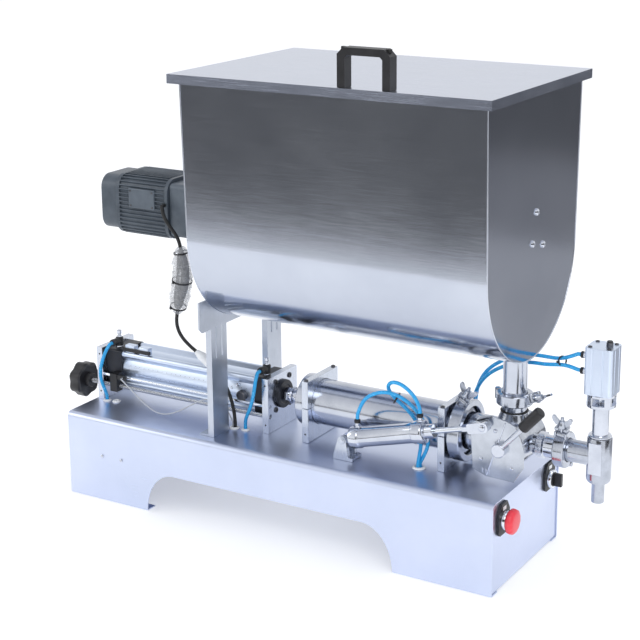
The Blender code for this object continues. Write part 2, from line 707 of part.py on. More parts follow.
def on_actuator(along):
    """The place (x, z) at a distance from the foot pin along the actuator's axis."""
    x = FOOT_PIN_X + along * math.cos(ACTUATOR_TILT)
    return x, FOOT_PIN_Z + along * math.sin(ACTUATOR_TILT)


def tilted(made):
    """Places a piece built along +X from the actuator's foot pin."""
    made.location = (FOOT_PIN_X, ACTUATOR_Y, FOOT_PIN_Z)
    made.rotation_euler = (0, -ACTUATOR_TILT, 0)
    return made


def make_actuator():
    front, back = ACTUATOR_Y - 0.015, ACTUATOR_Y + 0.015
    cheek = [
        (FOOT_PIN_X - 0.0155, DECK_Z), (FOOT_PIN_X + 0.0198, DECK_Z),
        (FOOT_PIN_X + 0.0198, DECK_Z + 0.0057), (FOOT_PIN_X + 0.0120, DECK_Z + 0.0060),
        (FOOT_PIN_X + 0.0070, FOOT_PIN_Z + 0.0035), (FOOT_PIN_X + 0.0035, FOOT_PIN_Z + 0.0070),
        (FOOT_PIN_X - 0.0035, FOOT_PIN_Z + 0.0070), (FOOT_PIN_X - 0.0070, FOOT_PIN_Z + 0.0035),
        (FOOT_PIN_X - 0.0155, DECK_Z + 0.0070),
    ]
    foot = prism("actuator_foot", cheek, "Y", front, back, "brushed_stainless")
    low = (FOOT_PIN_X - 0.03, ACTUATOR_Y - 0.0078, DECK_Z + 0.006)
    high = (FOOT_PIN_X + 0.03, ACTUATOR_Y + 0.0078, 0.21)
    cut(foot, box("cut_foot_slot", low, high))
    join(foot, rod("add_foot_pin", 0.0040, front - 0.002, back + 0.002, "Y", (FOOT_PIN_X, 0, FOOT_PIN_Z)))

    barrel_profile = [
        (0, 0.0120), (0.0165, 0.0120), (0.0180, 0.0140), (0.0180, 0.0290), (BARREL_RADIUS, 0.0300),
        (BARREL_RADIUS, 0.1280), (0.0185, 0.1290), (0.0185, 0.1460), (0.0170, 0.1480),
        (0.0115, 0.1480), (0.0115, 0.1640), (0, 0.1640),
    ]
    barrel = tilted(turned("actuator_barrel", barrel_profile, "X", (0, 0, 0), "polished_stainless", 18))
    tongue = [(0.0200, -0.0070), (0.0200, 0.0070)] + arc((0, 0), 0.0075, 90, 270, 6)
    join(barrel, tilted(prism("add_tongue", tongue, "Y", -0.0065, 0.0065)))
    for index, along in enumerate(ACTUATOR_PORTS):
        x, z = on_actuator(along)
        post = rod(f"add_port_{index}", 0.0042, z + 0.012, z + 0.030, "Z", (x, ACTUATOR_Y, 0), None, 8)
        join(barrel, post)
    cut(barrel, tilted(rod("cut_foot_eye", 0.0043, -0.02, 0.02, "Y", (0, 0, 0))))
    cut(barrel, tilted(rod("cut_barrel_bore", 0.0140, 0.0280, 0.1300, "X", (0, 0, 0), None, 16)))
    cut(barrel, tilted(rod("cut_nose_bore", 0.0048, 0.1200, 0.1800, "X", (0, 0, 0), None, 12)))

    eye = ACTUATOR_REACH
    rod_profile = [
        (0, 0.0400), (0.0137, 0.0400), (0.0137, 0.0480), (0.0045, 0.0480), (0.0045, 0.2260), (0, 0.2260),
    ]
    piece = tilted(turned("actuator_rod", rod_profile, "X", (0, 0, 0), "polished_stainless", 14))
    low, high = (eye - 0.026, -0.0070, -0.0080), (eye + 0.0095, 0.0066, 0.0080)
    join(piece, tilted(box("add_fork", low, high, bevel=0.0012)))
    join(piece, tilted(rod("add_fork_bolt", 0.0055, -0.0100, -0.0060, "Y", (eye, 0, 0), None, 6)))


# ---------------------------------------------------------------- outlet pipe and nozzle
FERRULE = 0.0240
OUTLET_JOINT = 0.4655
HOPPER_FERRULE = 0.2771


def make_outlet():
    start, end = 0.4250 + GAP, OUTLET_JOINT
    profile = [
        (0.0200, start), (0.0205, start + 0.0010), (0.0205, start + 0.0115), (0.0175, start + 0.0120),
        (0.0175, end - 0.006), (FERRULE, end - 0.003), (FERRULE, end), (0.0145, end), (0.0145, start),
    ]
    turned("outlet_pipe", profile, "X", (0, 0, LINE_Z), "polished_stainless", 18)
    clamp_ring("outlet_clamp", "X", (OUTLET_JOINT, 0, LINE_Z), 0.0182, 0.0245, 0.0285, 0.018)
    clamp_ring("hopper_clamp", "Z", (VALVE_X, 0, HOPPER_FERRULE), 0.0196, 0.0245, 0.0285, 0.018)
    clamp_ring("cylinder_clamp", "X", (TUBE_RIGHT, 0, LINE_Z), 0.0387, 0.0450, 0.0500, 0.021)


def make_nozzle():
    x = NOZZLE_X
    start = OUTLET_JOINT + GAP
    profile = [
        (0, 0.1346), (0.0096, 0.1346), (0.0099, 0.1660), (0.0165, 0.1680), (0.0190, 0.1840),
        (0.0190, 0.2390), (0.0180, 0.2402), (0, 0.2402),
    ]
    body = turned("nozzle_body", profile, "Z", (x, 0, 0), "polished_stainless", 18)
    side = [
        (0, start), (FERRULE, start), (FERRULE, start + 0.003),
        (0.0175, start + 0.006), (0.0175, x), (0, x),
    ]
    join(body, turned("add_nozzle_side", side, "X", (0, 0, LINE_Z), None, 18))
    cut(body, rod("cut_nozzle_side", 0.0145, start - 0.01, x, "X", (0, 0, LINE_Z), None, 16))
    bore = [
        (0, 0.1200), (0.0078, 0.1200), (0.0078, 0.1500), (0.0088, 0.1510),
        (0.0088, 0.1700), (0.0120, 0.1740), (0.0120, 0.2500), (0, 0.2500),
    ]
    cut(body, turned("cut_nozzle_bore", bore, "Z", (x, 0, 0), None, 14))

    stem_start = 0.2405
    profile = [
        (0.0056, stem_start), (0.0180, stem_start), (0.0180, 0.2430), (0.0127, 0.2445),
        (0.0127, 0.2880), (0.0225, 0.2900), (0.0225, 0.3097), (0.0056, 0.3097),
    ]
    stem = turned("nozzle_stem", profile, "Z", (x, 0, 0), "polished_stainless", 18)
    cut(stem, box("cut_yoke_x", (x - 0.03, -0.012, 0.2940), (x + 0.03, 0.012, 0.3060)))
    cut(stem, box("cut_yoke_y", (x - 0.012, -0.03, 0.2940), (x + 0.012, 0.03, 0.3060)))

    square = [(x + y, z) for y, z in rounded_square(0.0220, 0.0070, 3)]
    cylinder = prism("nozzle_cylinder", square, "Z", 0.3100, 0.3830, "anodised_aluminium")
    join(cylinder, rod("add_nozzle_port_top", 0.0050, 0.380, 0.392, "Z", (x + 0.010, 0, 0), None, 8))
    for index, z in enumerate((0.3640, 0.3390)):
        port = rod(f"add_nozzle_port_{index}", 0.0050, x - 0.030, x - 0.018, "X", (0, 0, z), None, 8)
        join(cylinder, port)
    cut(cylinder, rod("cut_nozzle_cylinder", 0.0160, 0.30, 0.375, "Z", (x, 0, 0), None, 16))

    profile = [
        (0, 0.1410), (0.0070, 0.1410), (0.0074, 0.1425), (0.0074, 0.1490), (0.0050, 0.1520),
        (0.0050, 0.3180), (0.0154, 0.3180), (0.0154, 0.3270), (0, 0.3270),
    ]
    turned("nozzle_plunger", profile, "Z", (x, 0, 0), "polished_stainless", 14, (x, 0, 0.16))


# ---------------------------------------------------------------- hopper, lid and stand
def hopper_outline(inset, top):
    """The trough seen from its end: a round bottom with sides that open slightly upwards."""
    radius = HOPPER_RADIUS - inset
    half = HOPPER_TOP_HALF - inset
    points = [(half, top)]
    points += arc((0, HOPPER_AXIS_Z), radius, 0, -180, 28)
    points.append((-half, top))
    return points


def make_hopper():
    shell = prism(
        "hopper_shell", hopper_outline(0, HOPPER_TOP), "X", HOPPER_LEFT, HOPPER_RIGHT, "brushed_stainless"
    )
    inner = hopper_outline(SHEET, HOPPER_TOP + 0.02)
    bottom = HOPPER_AXIS_Z - HOPPER_RADIUS
    pipe_top = bottom + 0.0030
    ferrule = HOPPER_FERRULE
    profile = [
        (0, ferrule), (FERRULE, ferrule), (FERRULE, ferrule + 0.003), (0.0190, ferrule + 0.006),
        (0.0190, pipe_top + 0.001), (0, pipe_top + 0.001),
    ]
    join(shell, turned("add_outlet_pipe", profile, "Z", (VALVE_X, 0, 0), None, 18))
    cut(shell, prism("cut_hopper", inner, "X", HOPPER_LEFT + SHEET, HOPPER_RIGHT - SHEET))
    boss_start = HOPPER_RIGHT - 0.022
    centre = (0, 0, MIXER_Z)
    join(shell, rod("add_bearing_boss", 0.0180, boss_start, HOPPER_RIGHT - 0.001, "X", centre, None, 16))
    bearing_end = HOPPER_RIGHT - 0.004
    cut(shell, rod("cut_bearing", 0.0094, boss_start - 0.01, bearing_end, "X", centre, None, 14))
    start, end = HOPPER_LEFT - 0.01, HOPPER_LEFT + 0.01
    cut(shell, rod("cut_shaft_hole", 0.0110, start, end, "X", centre, None, 14))
    cut(shell, rod("cut_outlet", 0.0170, 0.27, bottom + 0.01, "Z", (VALVE_X, 0, 0), None, 16))

    low, high = (LID_LEFT, -LID_HALF, LID_TOP - LID_RIM), (LID_RIGHT, LID_HALF, LID_TOP)
    lid = box("hopper_lid", low, high, "brushed_stainless")
    wall = 0.0015
    low = (LID_LEFT + wall, -LID_HALF + wall, LID_TOP - LID_RIM - 0.01)
    high = (LID_RIGHT - wall, LID_HALF - wall, HOPPER_TOP + GAP)
    cut(lid, box("cut_lid", low, high))

    left, right, foot = 0.1730, 0.2596, LID_TOP + GAP
    top, post, bar, corner = 0.8235, 0.0125, 0.0110, 0.0100
    outline = [
        (left, foot), (left + post, foot), (left + post, top - bar - 0.004),
        (left + post + 0.004, top - bar), (right - post - 0.004, top - bar),
        (right - post, top - bar - 0.004), (right - post, foot), (right, foot),
        (right, top - corner), (right - corner, top), (left + corner, top), (left, top - corner),
    ]
    prism("lid_handle", outline, "Y", -0.1785, -0.1585, "black_plastic")


LEGS = ((-0.103, -0.059), (0.063, 0.107))


def make_stand():
    """Saddle plate and two channel legs, welded into one piece, bolted to the hopper's left end."""
    back, front = STAND_FRONT - STAND_THICK, STAND_FRONT
    saddle = 0.134
    foot, under, top = DECK_Z, 0.338, 0.390
    outline = [(saddle, top), (-saddle, top), (-saddle, under + 0.008), (-saddle + 0.008, under)]
    for near, far in LEGS:
        outline += [(near, under), (near, foot), (far, foot), (far, under)]
    outline += [(saddle - 0.008, under), (saddle, under + 0.008)]
    stand = prism("hopper_stand", outline, "X", back, front, "brushed_stainless")
    wall, depth = 0.0025, 0.0080
    for index, (near, far) in enumerate(LEGS):
        for side, (low, high) in enumerate(((near, near + wall), (far - wall, far))):
            edge = (back + 0.001, high, under + 0.020)
            join(stand, box(f"add_flange_{index}{side}", (back - depth, low, foot), edge))
        tab = box(f"add_tab_{index}", (back - 0.025, near, foot), (back + 0.001, far, foot + STAND_THICK))
        join(stand, tab)
        middle = (near + far) / 2
        for side in (-1, 1):
            slot = middle + side * 0.0085
            low, high = (back - 0.02, slot - 0.002, 0.285), (front + 0.01, slot + 0.002, 0.340)
            cut(stand, box(f"cut_slot_{index}{side}", low, high))


# ---------------------------------------------------------------- mixer
def make_mixer():
    left, right = -0.2317, -0.1650
    outline = rounded_square(GEARBOX_HALF, 0.008, 2, (0, MIXER_Z))
    gearbox = prism("mixer_gearbox", outline, "X", left, right, "motor_paint")
    centre = (0, 0, MIXER_Z)
    end = HOPPER_LEFT - GAP
    profile = [
        (0, right - 0.01), (0.0380, right - 0.01), (0.0380, right + 0.006), (0.0320, right + 0.007),
        (0.0320, end - 0.009), (0.0450, end - 0.008), (0.0450, end), (0, end),
    ]
    join(gearbox, turned("add_mixer_adapter", profile, "X", centre, None, 18))
    cut(gearbox, rod("cut_gearbox_shaft", 0.0120, right - 0.012, end + 0.01, "X", centre, None, 14))

    body = rounded_square(MOTOR_HALF, 0.024, 5, (0, MIXER_Z))
    prism("mixer_motor", body, "X", -0.3400, left - GAP, "motor_paint")

    half, wall = 0.0470, 0.002
    cover = rounded_square(half, 0.022, 4, (0, MIXER_Z))
    hollow = rounded_square(half - wall, 0.020, 4, (0, MIXER_Z))
    fan_cover = prism("motor_fan_cover", cover, "X", -0.3760, -0.3400 - GAP, "motor_paint")
    cut(fan_cover, prism("cut_fan_cover", hollow, "X", -0.3760 + wall, -0.3300))

    shaft_start, shaft_end = right - 0.010, HOPPER_RIGHT - 0.005
    radius = MIXER_SHAFT_RADIUS
    shaft = rod("mixer_shaft", radius, shaft_start, shaft_end, "X", centre, "polished_stainless", 14, centre)
    arms = 6
    first, pitch = -0.0620, 0.0800
    for index in range(arms):
        x = first + pitch * index
        turn = Matrix.Translation((x, 0, MIXER_Z)) @ Matrix.Rotation(math.radians(60 * index), 4, "X")
        arm = bmesh.new()
        bmesh.ops.create_cube(arm, size=1.0)
        bmesh.ops.scale(arm, vec=(0.010, 0.006, 2 * PADDLE_REACH - 0.020), verts=arm.verts[:])
        bmesh.ops.transform(arm, matrix=turn, verts=arm.verts[:])
        join(shaft, finish_mesh(f"add_arm_{index}", arm))
        for side in (-1, 1):
            paddle = bmesh.new()
            bmesh.ops.create_cube(paddle, size=1.0)
            bmesh.ops.scale(paddle, vec=(0.066, 0.005, 0.036), verts=paddle.verts[:])
            lean = Matrix.Rotation(math.radians(40), 4, "Z")
            move = Matrix.Translation((0, 0, side * (PADDLE_REACH - 0.018)))
            bmesh.ops.transform(paddle, matrix=turn @ move @ lean, verts=paddle.verts[:])
            join(shaft, finish_mesh(f"add_paddle_{index}{side}", paddle))


# ---------------------------------------------------------------- hoses and cables
HOSES = {
    "hose_air_rear": (
        (-0.3740, -0.0374, 0.2550), (-0.3740, -0.0440, 0.2548), (-0.3752, -0.0545, 0.2455),
        (-0.3790, -0.0590, 0.2300), (-0.3838, -0.0600, 0.2150), (-0.3855, -0.0590, 0.1950),
        (-0.3835, -0.0545, 0.1780), (-0.3815, -0.0490, 0.1660), (-0.3815, -0.0480, 0.1570),
    ),
    "hose_air_front": (
        (-0.0630, -0.0374, 0.2550), (-0.0630, -0.0440, 0.2548), (-0.0610, -0.0545, 0.2455),
        (-0.0600, -0.0590, 0.2290), (-0.0640, -0.0600, 0.2110), (-0.0715, -0.0590, 0.1900),
        (-0.0810, -0.0545, 0.1760), (-0.0868, -0.0485, 0.1660), (-0.0872, -0.0474, 0.1570),
    ),
    "hose_actuator_rear": (
        (0.1418, -0.0680, 0.2196), (0.1422, -0.0680, 0.2270), (0.1470, -0.0680, 0.2410),
        (0.1580, -0.0680, 0.2585), (0.1840, -0.0680, 0.2720), (0.2050, -0.0660, 0.2725),
        (0.2200, -0.0600, 0.2650), (0.2350, -0.0520, 0.2500), (0.2490, -0.0470, 0.2290),
        (0.2570, -0.0455, 0.2050), (0.2555, -0.0460, 0.1820), (0.2475, -0.0472, 0.1670),
        (0.2433, -0.0468, 0.1570),
    ),
    "hose_actuator_front": (
        (0.2538, -0.0680, 0.2495), (0.2532, -0.0680, 0.2560), (0.2490, -0.0690, 0.2700),
        (0.2370, -0.0700, 0.2830), (0.2200, -0.0695, 0.2925), (0.2020, -0.0655, 0.2915),
        (0.1900, -0.0590, 0.2800), (0.1950, -0.0525, 0.2640), (0.2100, -0.0475, 0.2505),
        (0.2255, -0.0440, 0.2360), (0.2380, -0.0430, 0.2190), (0.2440, -0.0440, 0.2000),
        (0.2450, -0.0480, 0.1820), (0.2437, -0.0525, 0.1670), (0.2433, -0.0536, 0.1570),
    ),
    "hose_nozzle_upper": (
        (0.4920, 0.0000, 0.3640), (0.4830, 0.0010, 0.3634), (0.4640, 0.0080, 0.3530),
        (0.4450, 0.0180, 0.3450), (0.4250, 0.0260, 0.3420), (0.4020, 0.0340, 0.3390),
        (0.3750, 0.0430, 0.3320), (0.3450, 0.0490, 0.3190), (0.3200, 0.0520, 0.3030),
        (0.3020, 0.0545, 0.2830), (0.2900, 0.0590, 0.2550), (0.2855, 0.0640, 0.2250),
        (0.2835, 0.0690, 0.1950), (0.2830, 0.0713, 0.1700), (0.2830, 0.0713, 0.1570),
    ),
    "hose_nozzle_lower": (
        (0.4920, 0.0000, 0.3390), (0.4830, 0.0007, 0.3391), (0.4640, 0.0060, 0.3410),
        (0.4440, 0.0125, 0.3370), (0.4240, 0.0185, 0.3320), (0.4010, 0.0260, 0.3290),
        (0.3740, 0.0350, 0.3220), (0.3440, 0.0420, 0.3090), (0.3190, 0.0450, 0.2930),
        (0.3010, 0.0475, 0.2730), (0.2890, 0.0515, 0.2470), (0.2840, 0.0565, 0.2200),
        (0.2825, 0.0620, 0.1920), (0.2830, 0.0647, 0.1700), (0.2830, 0.0647, 0.1570),
    ),
}
SENSOR_WIRE = (
    (-0.3440, -0.0499, 0.1985), (-0.3438, -0.0545, 0.1985), (-0.3330, -0.0610, 0.1975),
    (-0.3120, -0.0640, 0.1850), (-0.2880, -0.0650, 0.1680), (-0.2660, -0.0650, 0.1565),
    (-0.2480, -0.0650, 0.1540), (-0.2320, -0.0640, 0.1575), (-0.2110, -0.0625, 0.1670),
    (-0.1895, -0.0605, 0.1800), (-0.1700, -0.0580, 0.1920), (-0.1500, -0.0560, 0.1960),
    (-0.1330, -0.0535, 0.1900), (-0.1205, -0.0500, 0.1780), (-0.1130, -0.0489, 0.1660),
    (-0.1119, -0.0489, 0.1570),
)
MOTOR_CABLE = (
    (-0.2370, -0.0530, 0.5220), (-0.2370, -0.0600, 0.5212), (-0.2310, -0.0660, 0.5080),
    (-0.2180, -0.0645, 0.4890), (-0.2085, -0.0560, 0.4700), (-0.2060, -0.0540, 0.4540),
    (-0.2040, -0.0520, 0.4300), (-0.2065, -0.0500, 0.4000), (-0.2140, -0.0480, 0.3700),
    (-0.2220, -0.0450, 0.3420), (-0.2280, -0.0430, 0.3180), (-0.2230, -0.0420, 0.2980),
    (-0.2090, -0.0420, 0.2840), (-0.1890, -0.0440, 0.2730), (-0.1680, -0.0470, 0.2630),
    (-0.1470, -0.0480, 0.2480), (-0.1280, -0.0480, 0.2270), (-0.1155, -0.0480, 0.2030),
    (-0.1085, -0.0489, 0.1780), (-0.1071, -0.0489, 0.1660), (-0.1071, -0.0489, 0.1570),
)


def make_cords():
    for name, points in HOSES.items():
        cord(name, points, HOSE_RADIUS, "blue_hose")
    cord("sensor_wire", SENSOR_WIRE, WIRE_RADIUS, "grey_wire")
    cord("motor_cable", MOTOR_CABLE, CABLE_RADIUS, "black_plastic", (0.333, 0.456, 5.6))


# ---------------------------------------------------------------- build
def main():
    for made in list(bpy.data.objects):
        bpy.data.objects.remove(made, do_unlink=True)
    make_base()
    make_grommets()
    make_controls()
    make_valve_block()
    make_air_cylinder()
    make_stroke_setting()
    make_material_cylinder()
    make_valve()
    make_crank()
    make_actuator()
    make_outlet()
    make_nozzle()
    make_hopper()
    make_stand()
    make_mixer()
    make_cords()
    for made in bpy.data.objects:
        made.location.x += CENTRE_SHIFT


main()
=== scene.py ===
import math

import bmesh
import bpy
from mathutils import Matrix, Vector


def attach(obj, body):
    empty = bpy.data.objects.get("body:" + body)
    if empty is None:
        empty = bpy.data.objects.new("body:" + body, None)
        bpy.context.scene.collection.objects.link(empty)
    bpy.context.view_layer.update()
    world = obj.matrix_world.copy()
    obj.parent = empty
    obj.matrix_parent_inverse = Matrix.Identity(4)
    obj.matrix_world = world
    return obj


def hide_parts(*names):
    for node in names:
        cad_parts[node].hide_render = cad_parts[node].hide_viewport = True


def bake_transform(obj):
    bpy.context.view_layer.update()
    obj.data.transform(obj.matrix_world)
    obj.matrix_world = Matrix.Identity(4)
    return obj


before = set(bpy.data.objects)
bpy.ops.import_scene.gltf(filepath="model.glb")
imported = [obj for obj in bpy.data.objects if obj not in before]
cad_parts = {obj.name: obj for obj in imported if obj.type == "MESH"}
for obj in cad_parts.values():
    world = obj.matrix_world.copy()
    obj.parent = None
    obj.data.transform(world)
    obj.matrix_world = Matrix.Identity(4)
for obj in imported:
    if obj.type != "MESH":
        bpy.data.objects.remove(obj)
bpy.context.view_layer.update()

SHIFT = -0.0465
LINE_Z = 0.209
VALVE_X = 0.3825
NOZZLE_X = 0.523
MIXER_Z = 0.512
ACTUATOR_Y = -0.068
FOOT_PIN = (0.1210, 0.1830)
CRANK_PIN = (0.3625, 0.2473)
TILT = math.atan2(CRANK_PIN[1] - FOOT_PIN[1], CRANK_PIN[0] - FOOT_PIN[0])
DECK = 0.1503
CORD_RADIUS = 0.0030
WIRE_RADIUS = 0.0012
WRAP_HEIGHTS = (0.334, 0.456)  # the motor cable is coiled up and wrapped between these
CONNECTOR_HEIGHTS = (0.226, 0.272)


# ---------------------------------------------------------------- materials
def shader_nodes(name):
    material = bpy.data.materials.new(name)
    material.use_nodes = True
    tree = material.node_tree
    return material, tree, tree.nodes["Principled BSDF"]


def mapped(tree, scale, kind="Object"):
    where = tree.nodes.new("ShaderNodeTexCoord")
    mapping = tree.nodes.new("ShaderNodeMapping")
    mapping.inputs["Scale"].default_value = scale
    tree.links.new(where.outputs[kind], mapping.inputs["Vector"])
    return mapping.outputs["Vector"]


def noise(tree, vector, scale, detail=4.0, roughness=0.6):
    made = tree.nodes.new("ShaderNodeTexNoise")
    made.inputs["Scale"].default_value = scale
    made.inputs["Detail"].default_value = detail
    made.inputs["Roughness"].default_value = roughness
    tree.links.new(vector, made.inputs["Vector"])
    return made.outputs["Fac"]


def remap(tree, value, low, high, start=0.3, end=0.7):
    made = tree.nodes.new("ShaderNodeMapRange")
    made.inputs["From Min"].default_value = start
    made.inputs["From Max"].default_value = end
    made.inputs["To Min"].default_value = low
    made.inputs["To Max"].default_value = high
    tree.links.new(value, made.inputs["Value"])
    return made.outputs["Result"]


def blend_colours(tree, factor, one, two):
    made = tree.nodes.new("ShaderNodeMix")
    made.data_type = "RGBA"
    made.inputs[6].default_value = (*one, 1)
    made.inputs[7].default_value = (*two, 1)
    tree.links.new(factor, made.inputs["Factor"])
    return made.outputs[2]


def bump(tree, shader, height, strength, distance=0.0004):
    made = tree.nodes.new("ShaderNodeBump")
    made.inputs["Strength"].default_value = strength
    made.inputs["Distance"].default_value = distance
    tree.links.new(height, made.inputs["Height"])
    tree.links.new(made.outputs["Normal"], shader.inputs["Normal"])


def metal(name, dark, light, roughness, grain=(4, 260, 260), vary=0.07, strength=0.08, clouds=9.0):
    """Metal with cloudy tone and a fine grain that runs along the axis with the small scale."""
    material, tree, shader = shader_nodes(name)
    cloud = noise(tree, mapped(tree, (1, 1, 1)), clouds, 5.0)
    fine = noise(tree, mapped(tree, grain), 6.0, 3.0)
    tree.links.new(blend_colours(tree, remap(tree, cloud, 0, 1), dark, light), shader.inputs["Base Color"])
    add = tree.nodes.new("ShaderNodeMath")
    add.operation = "ADD"
    tree.links.new(remap(tree, fine, -vary, vary), add.inputs[0])
    tree.links.new(remap(tree, cloud, roughness - vary / 2, roughness + vary / 2), add.inputs[1])
    tree.links.new(add.outputs[0], shader.inputs["Roughness"])
    shader.inputs["Metallic"].default_value = 1.0
    bump(tree, shader, fine, strength)
    return material


def plastic(name, dark, light, roughness, scale=900.0, strength=0.12, metallic=0.0, coat=0.0):
    """Moulded plastic or paint with slight blotches and a fine skin texture."""
    material, tree, shader = shader_nodes(name)
    cloud = noise(tree, mapped(tree, (1, 1, 1)), 40.0, 4.0)
    fine = noise(tree, mapped(tree, (1, 1, 1)), scale, 2.0)
    tree.links.new(blend_colours(tree, remap(tree, cloud, 0, 1), dark, light), shader.inputs["Base Color"])
    tree.links.new(remap(tree, fine, roughness - 0.06, roughness + 0.06), shader.inputs["Roughness"])
    shader.inputs["Metallic"].default_value = metallic
    shader.inputs["Coat Weight"].default_value = coat
    bump(tree, shader, fine, strength, 0.0002)
    return material


def see_through(name, dark, light, roughness, alpha, transmission):
    """Soft translucent plastic: hose walls and wrapping film."""
    material, tree, shader = shader_nodes(name)
    cloud = noise(tree, mapped(tree, (1, 1, 1)), 120.0, 4.0)
    tree.links.new(blend_colours(tree, remap(tree, cloud, 0, 1), dark, light), shader.inputs["Base Color"])
    tree.links.new(remap(tree, cloud, roughness - 0.08, roughness + 0.10), shader.inputs["Roughness"])
    shader.inputs["Alpha"].default_value = alpha
    shader.inputs["Transmission Weight"].default_value = transmission
    shader.inputs["IOR"].default_value = 1.45
    bump(tree, shader, cloud, 0.25, 0.0006)
    return material


def threaded(name, dark, light, roughness, pitch):
    """Bright steel with a screw thread along X; its colour is painted in bands along the thread, painted
    shade in the grooves and a painted highlight on the crests.
    """
    material, tree, shader = shader_nodes(name)
    wave = tree.nodes.new("ShaderNodeTexWave")
    wave.bands_direction = "X"
    wave.inputs["Scale"].default_value = 0.314 / pitch
    wave.inputs["Distortion"].default_value = 0.0
    tree.links.new(mapped(tree, (1, 0.0, 0.0)), wave.inputs["Vector"])
    # painted shade in the thread's grooves and painted highlight on its crests, following the wave bands
    tree.links.new(blend_colours(tree, wave.outputs["Fac"], dark, light), shader.inputs["Base Color"])
    tree.links.new(remap(tree, wave.outputs["Fac"], roughness, roughness + 0.1, 0, 1),
                   shader.inputs["Roughness"])
    shader.inputs["Metallic"].default_value = 1.0
    bump(tree, shader, wave.outputs["Fac"], 0.6, 0.0006)
    return material


M = {
    "side": metal("sheet_side", (0.60, 0.66, 0.82), (0.68, 0.735, 0.90), 0.34, (3, 200, 200), 0.05, 0.05,
                  5.0),
    "hopper": metal("sheet_hopper", (0.50, 0.535, 0.615), (0.59, 0.625, 0.70), 0.15, (3, 220, 220), 0.04,
                    0.035, 4.0),
    "lid": metal("sheet_lid", (0.46, 0.50, 0.61), (0.53, 0.57, 0.68), 0.24, (3, 220, 220), 0.05, 0.04, 4.0),
    "plate": metal("ground_plate", (0.54, 0.58, 0.66), (0.64, 0.68, 0.76), 0.24, (160, 160, 6), 0.07, 0.07,
                   25.0),
    "leg": metal("brushed_leg", (0.52, 0.56, 0.63), (0.64, 0.68, 0.76), 0.42, (200, 200, 5), 0.08, 0.08,
                 18.0),
    "polished": metal("polished_steel", (0.56, 0.59, 0.66), (0.68, 0.71, 0.78), 0.11, (60, 60, 60), 0.03,
                      0.02, 30.0),
    "pipe": metal("turned_steel", (0.50, 0.53, 0.60), (0.61, 0.64, 0.71), 0.17, (420, 8, 8), 0.05, 0.04,
                  20.0),
    "cast": metal("cast_steel", (0.43, 0.46, 0.52), (0.56, 0.59, 0.66), 0.17, (90, 90, 90), 0.07, 0.10, 60.0),
    "chrome": metal("hard_chrome", (0.74, 0.77, 0.82), (0.82, 0.85, 0.90), 0.08, (500, 10, 10), 0.03, 0.02,
                    30.0),
    "anodised": metal("anodised_bar", (0.66, 0.74, 0.88), (0.74, 0.82, 0.95), 0.34, (3, 300, 300), 0.05,
                      0.06, 12.0),
    "dark_metal": metal("dark_screw", (0.10, 0.10, 0.11), (0.18, 0.18, 0.19), 0.38, (90, 90, 90), 0.06,
                        0.10, 80.0),
    "cap": plastic("black_cap", (0.014, 0.016, 0.022), (0.028, 0.031, 0.042), 0.38, 1400.0, 0.15, 0.3),
    "black": plastic("black_plastic", (0.008, 0.008, 0.010), (0.018, 0.018, 0.021), 0.42),
    "rubber": plastic("black_rubber", (0.010, 0.010, 0.010), (0.020, 0.020, 0.020), 0.58, 700.0, 0.2),
    "white": plastic("white_plastic", (0.80, 0.82, 0.85), (0.88, 0.90, 0.92), 0.42),
    "red": plastic("red_plastic", (0.80, 0.030, 0.055), (0.88, 0.050, 0.075), 0.34, 700.0, 0.08, 0.0, 0.2),
    "motor": plastic("motor_paint", (0.055, 0.070, 0.090), (0.085, 0.105, 0.130), 0.42, 800.0, 0.25, 0.15,
                     0.1),
    "motor_light": plastic("gearbox_paint", (0.085, 0.105, 0.130), (0.12, 0.145, 0.175), 0.40, 800.0, 0.2,
                           0.15, 0.1),
    "wire": plastic("grey_sheath", (0.42, 0.45, 0.50), (0.54, 0.57, 0.62), 0.45),
    "hose": see_through("blue_hose_wall", (0.02, 0.42, 0.90), (0.07, 0.54, 0.98), 0.22, 1.0, 0.25),
    "film": see_through("clear_film", (0.86, 0.89, 0.94), (0.96, 0.97, 1.0), 0.18, 0.50, 0.45),
    "facet": metal("crank_steel", (0.42, 0.45, 0.50), (0.62, 0.65, 0.71), 0.20, (30, 30, 200), 0.06, 0.10,
                   22.0),
    # dark and light thread colours: painted shade in the grooves, painted highlight on the crests
    "thread": threaded("screw_thread", (0.40, 0.42, 0.46), (0.80, 0.82, 0.86), 0.14, 0.0018),
}


# ---------------------------------------------------------------- mesh helpers
TURN = {
    "X": Matrix(((0, 0, 1), (1, 0, 0), (0, 1, 0))).to_4x4(),
    "Y": Matrix(((0, 1, 0), (0, 0, 1), (1, 0, 0))).to_4x4(),
    "Z": Matrix.Identity(4),
}
IDENTITY = Matrix.Identity(4)


def lathe(bm, profile, axis="X", centre=(0, 0, 0), segments=72, place=IDENTITY):
    """Turns (radius, distance along the axis) points round an axis through centre."""
    move = place @ Matrix.Translation(centre) @ TURN[axis]
    rings = []
    for radius, along in profile:
        if radius <= 0:
            rings.append([bm.verts.new(move @ Vector((0, 0, along)))])
            continue
        rings.append([
            bm.verts.new(move @ Vector((
                radius * math.cos(2 * math.pi * (step + 0.5) / segments),
                radius * math.sin(2 * math.pi * (step + 0.5) / segments),
                along,
            )))
            for step in range(segments)
        ])
    pairs = list(zip(rings, rings[1:]))
    if profile[0][0] > 0 and profile[-1][0] > 0:
        pairs.append((rings[-1], rings[0]))
    for one, two in pairs:
        if len(one) == len(two) == 1:
            continue
        for step in range(segments):
            after = (step + 1) % segments
            corners = [one[step % len(one)], two[step % len(two)], two[after % len(two)],
                       one[after % len(one)]]
            bm.faces.new(list(dict.fromkeys(corners)))


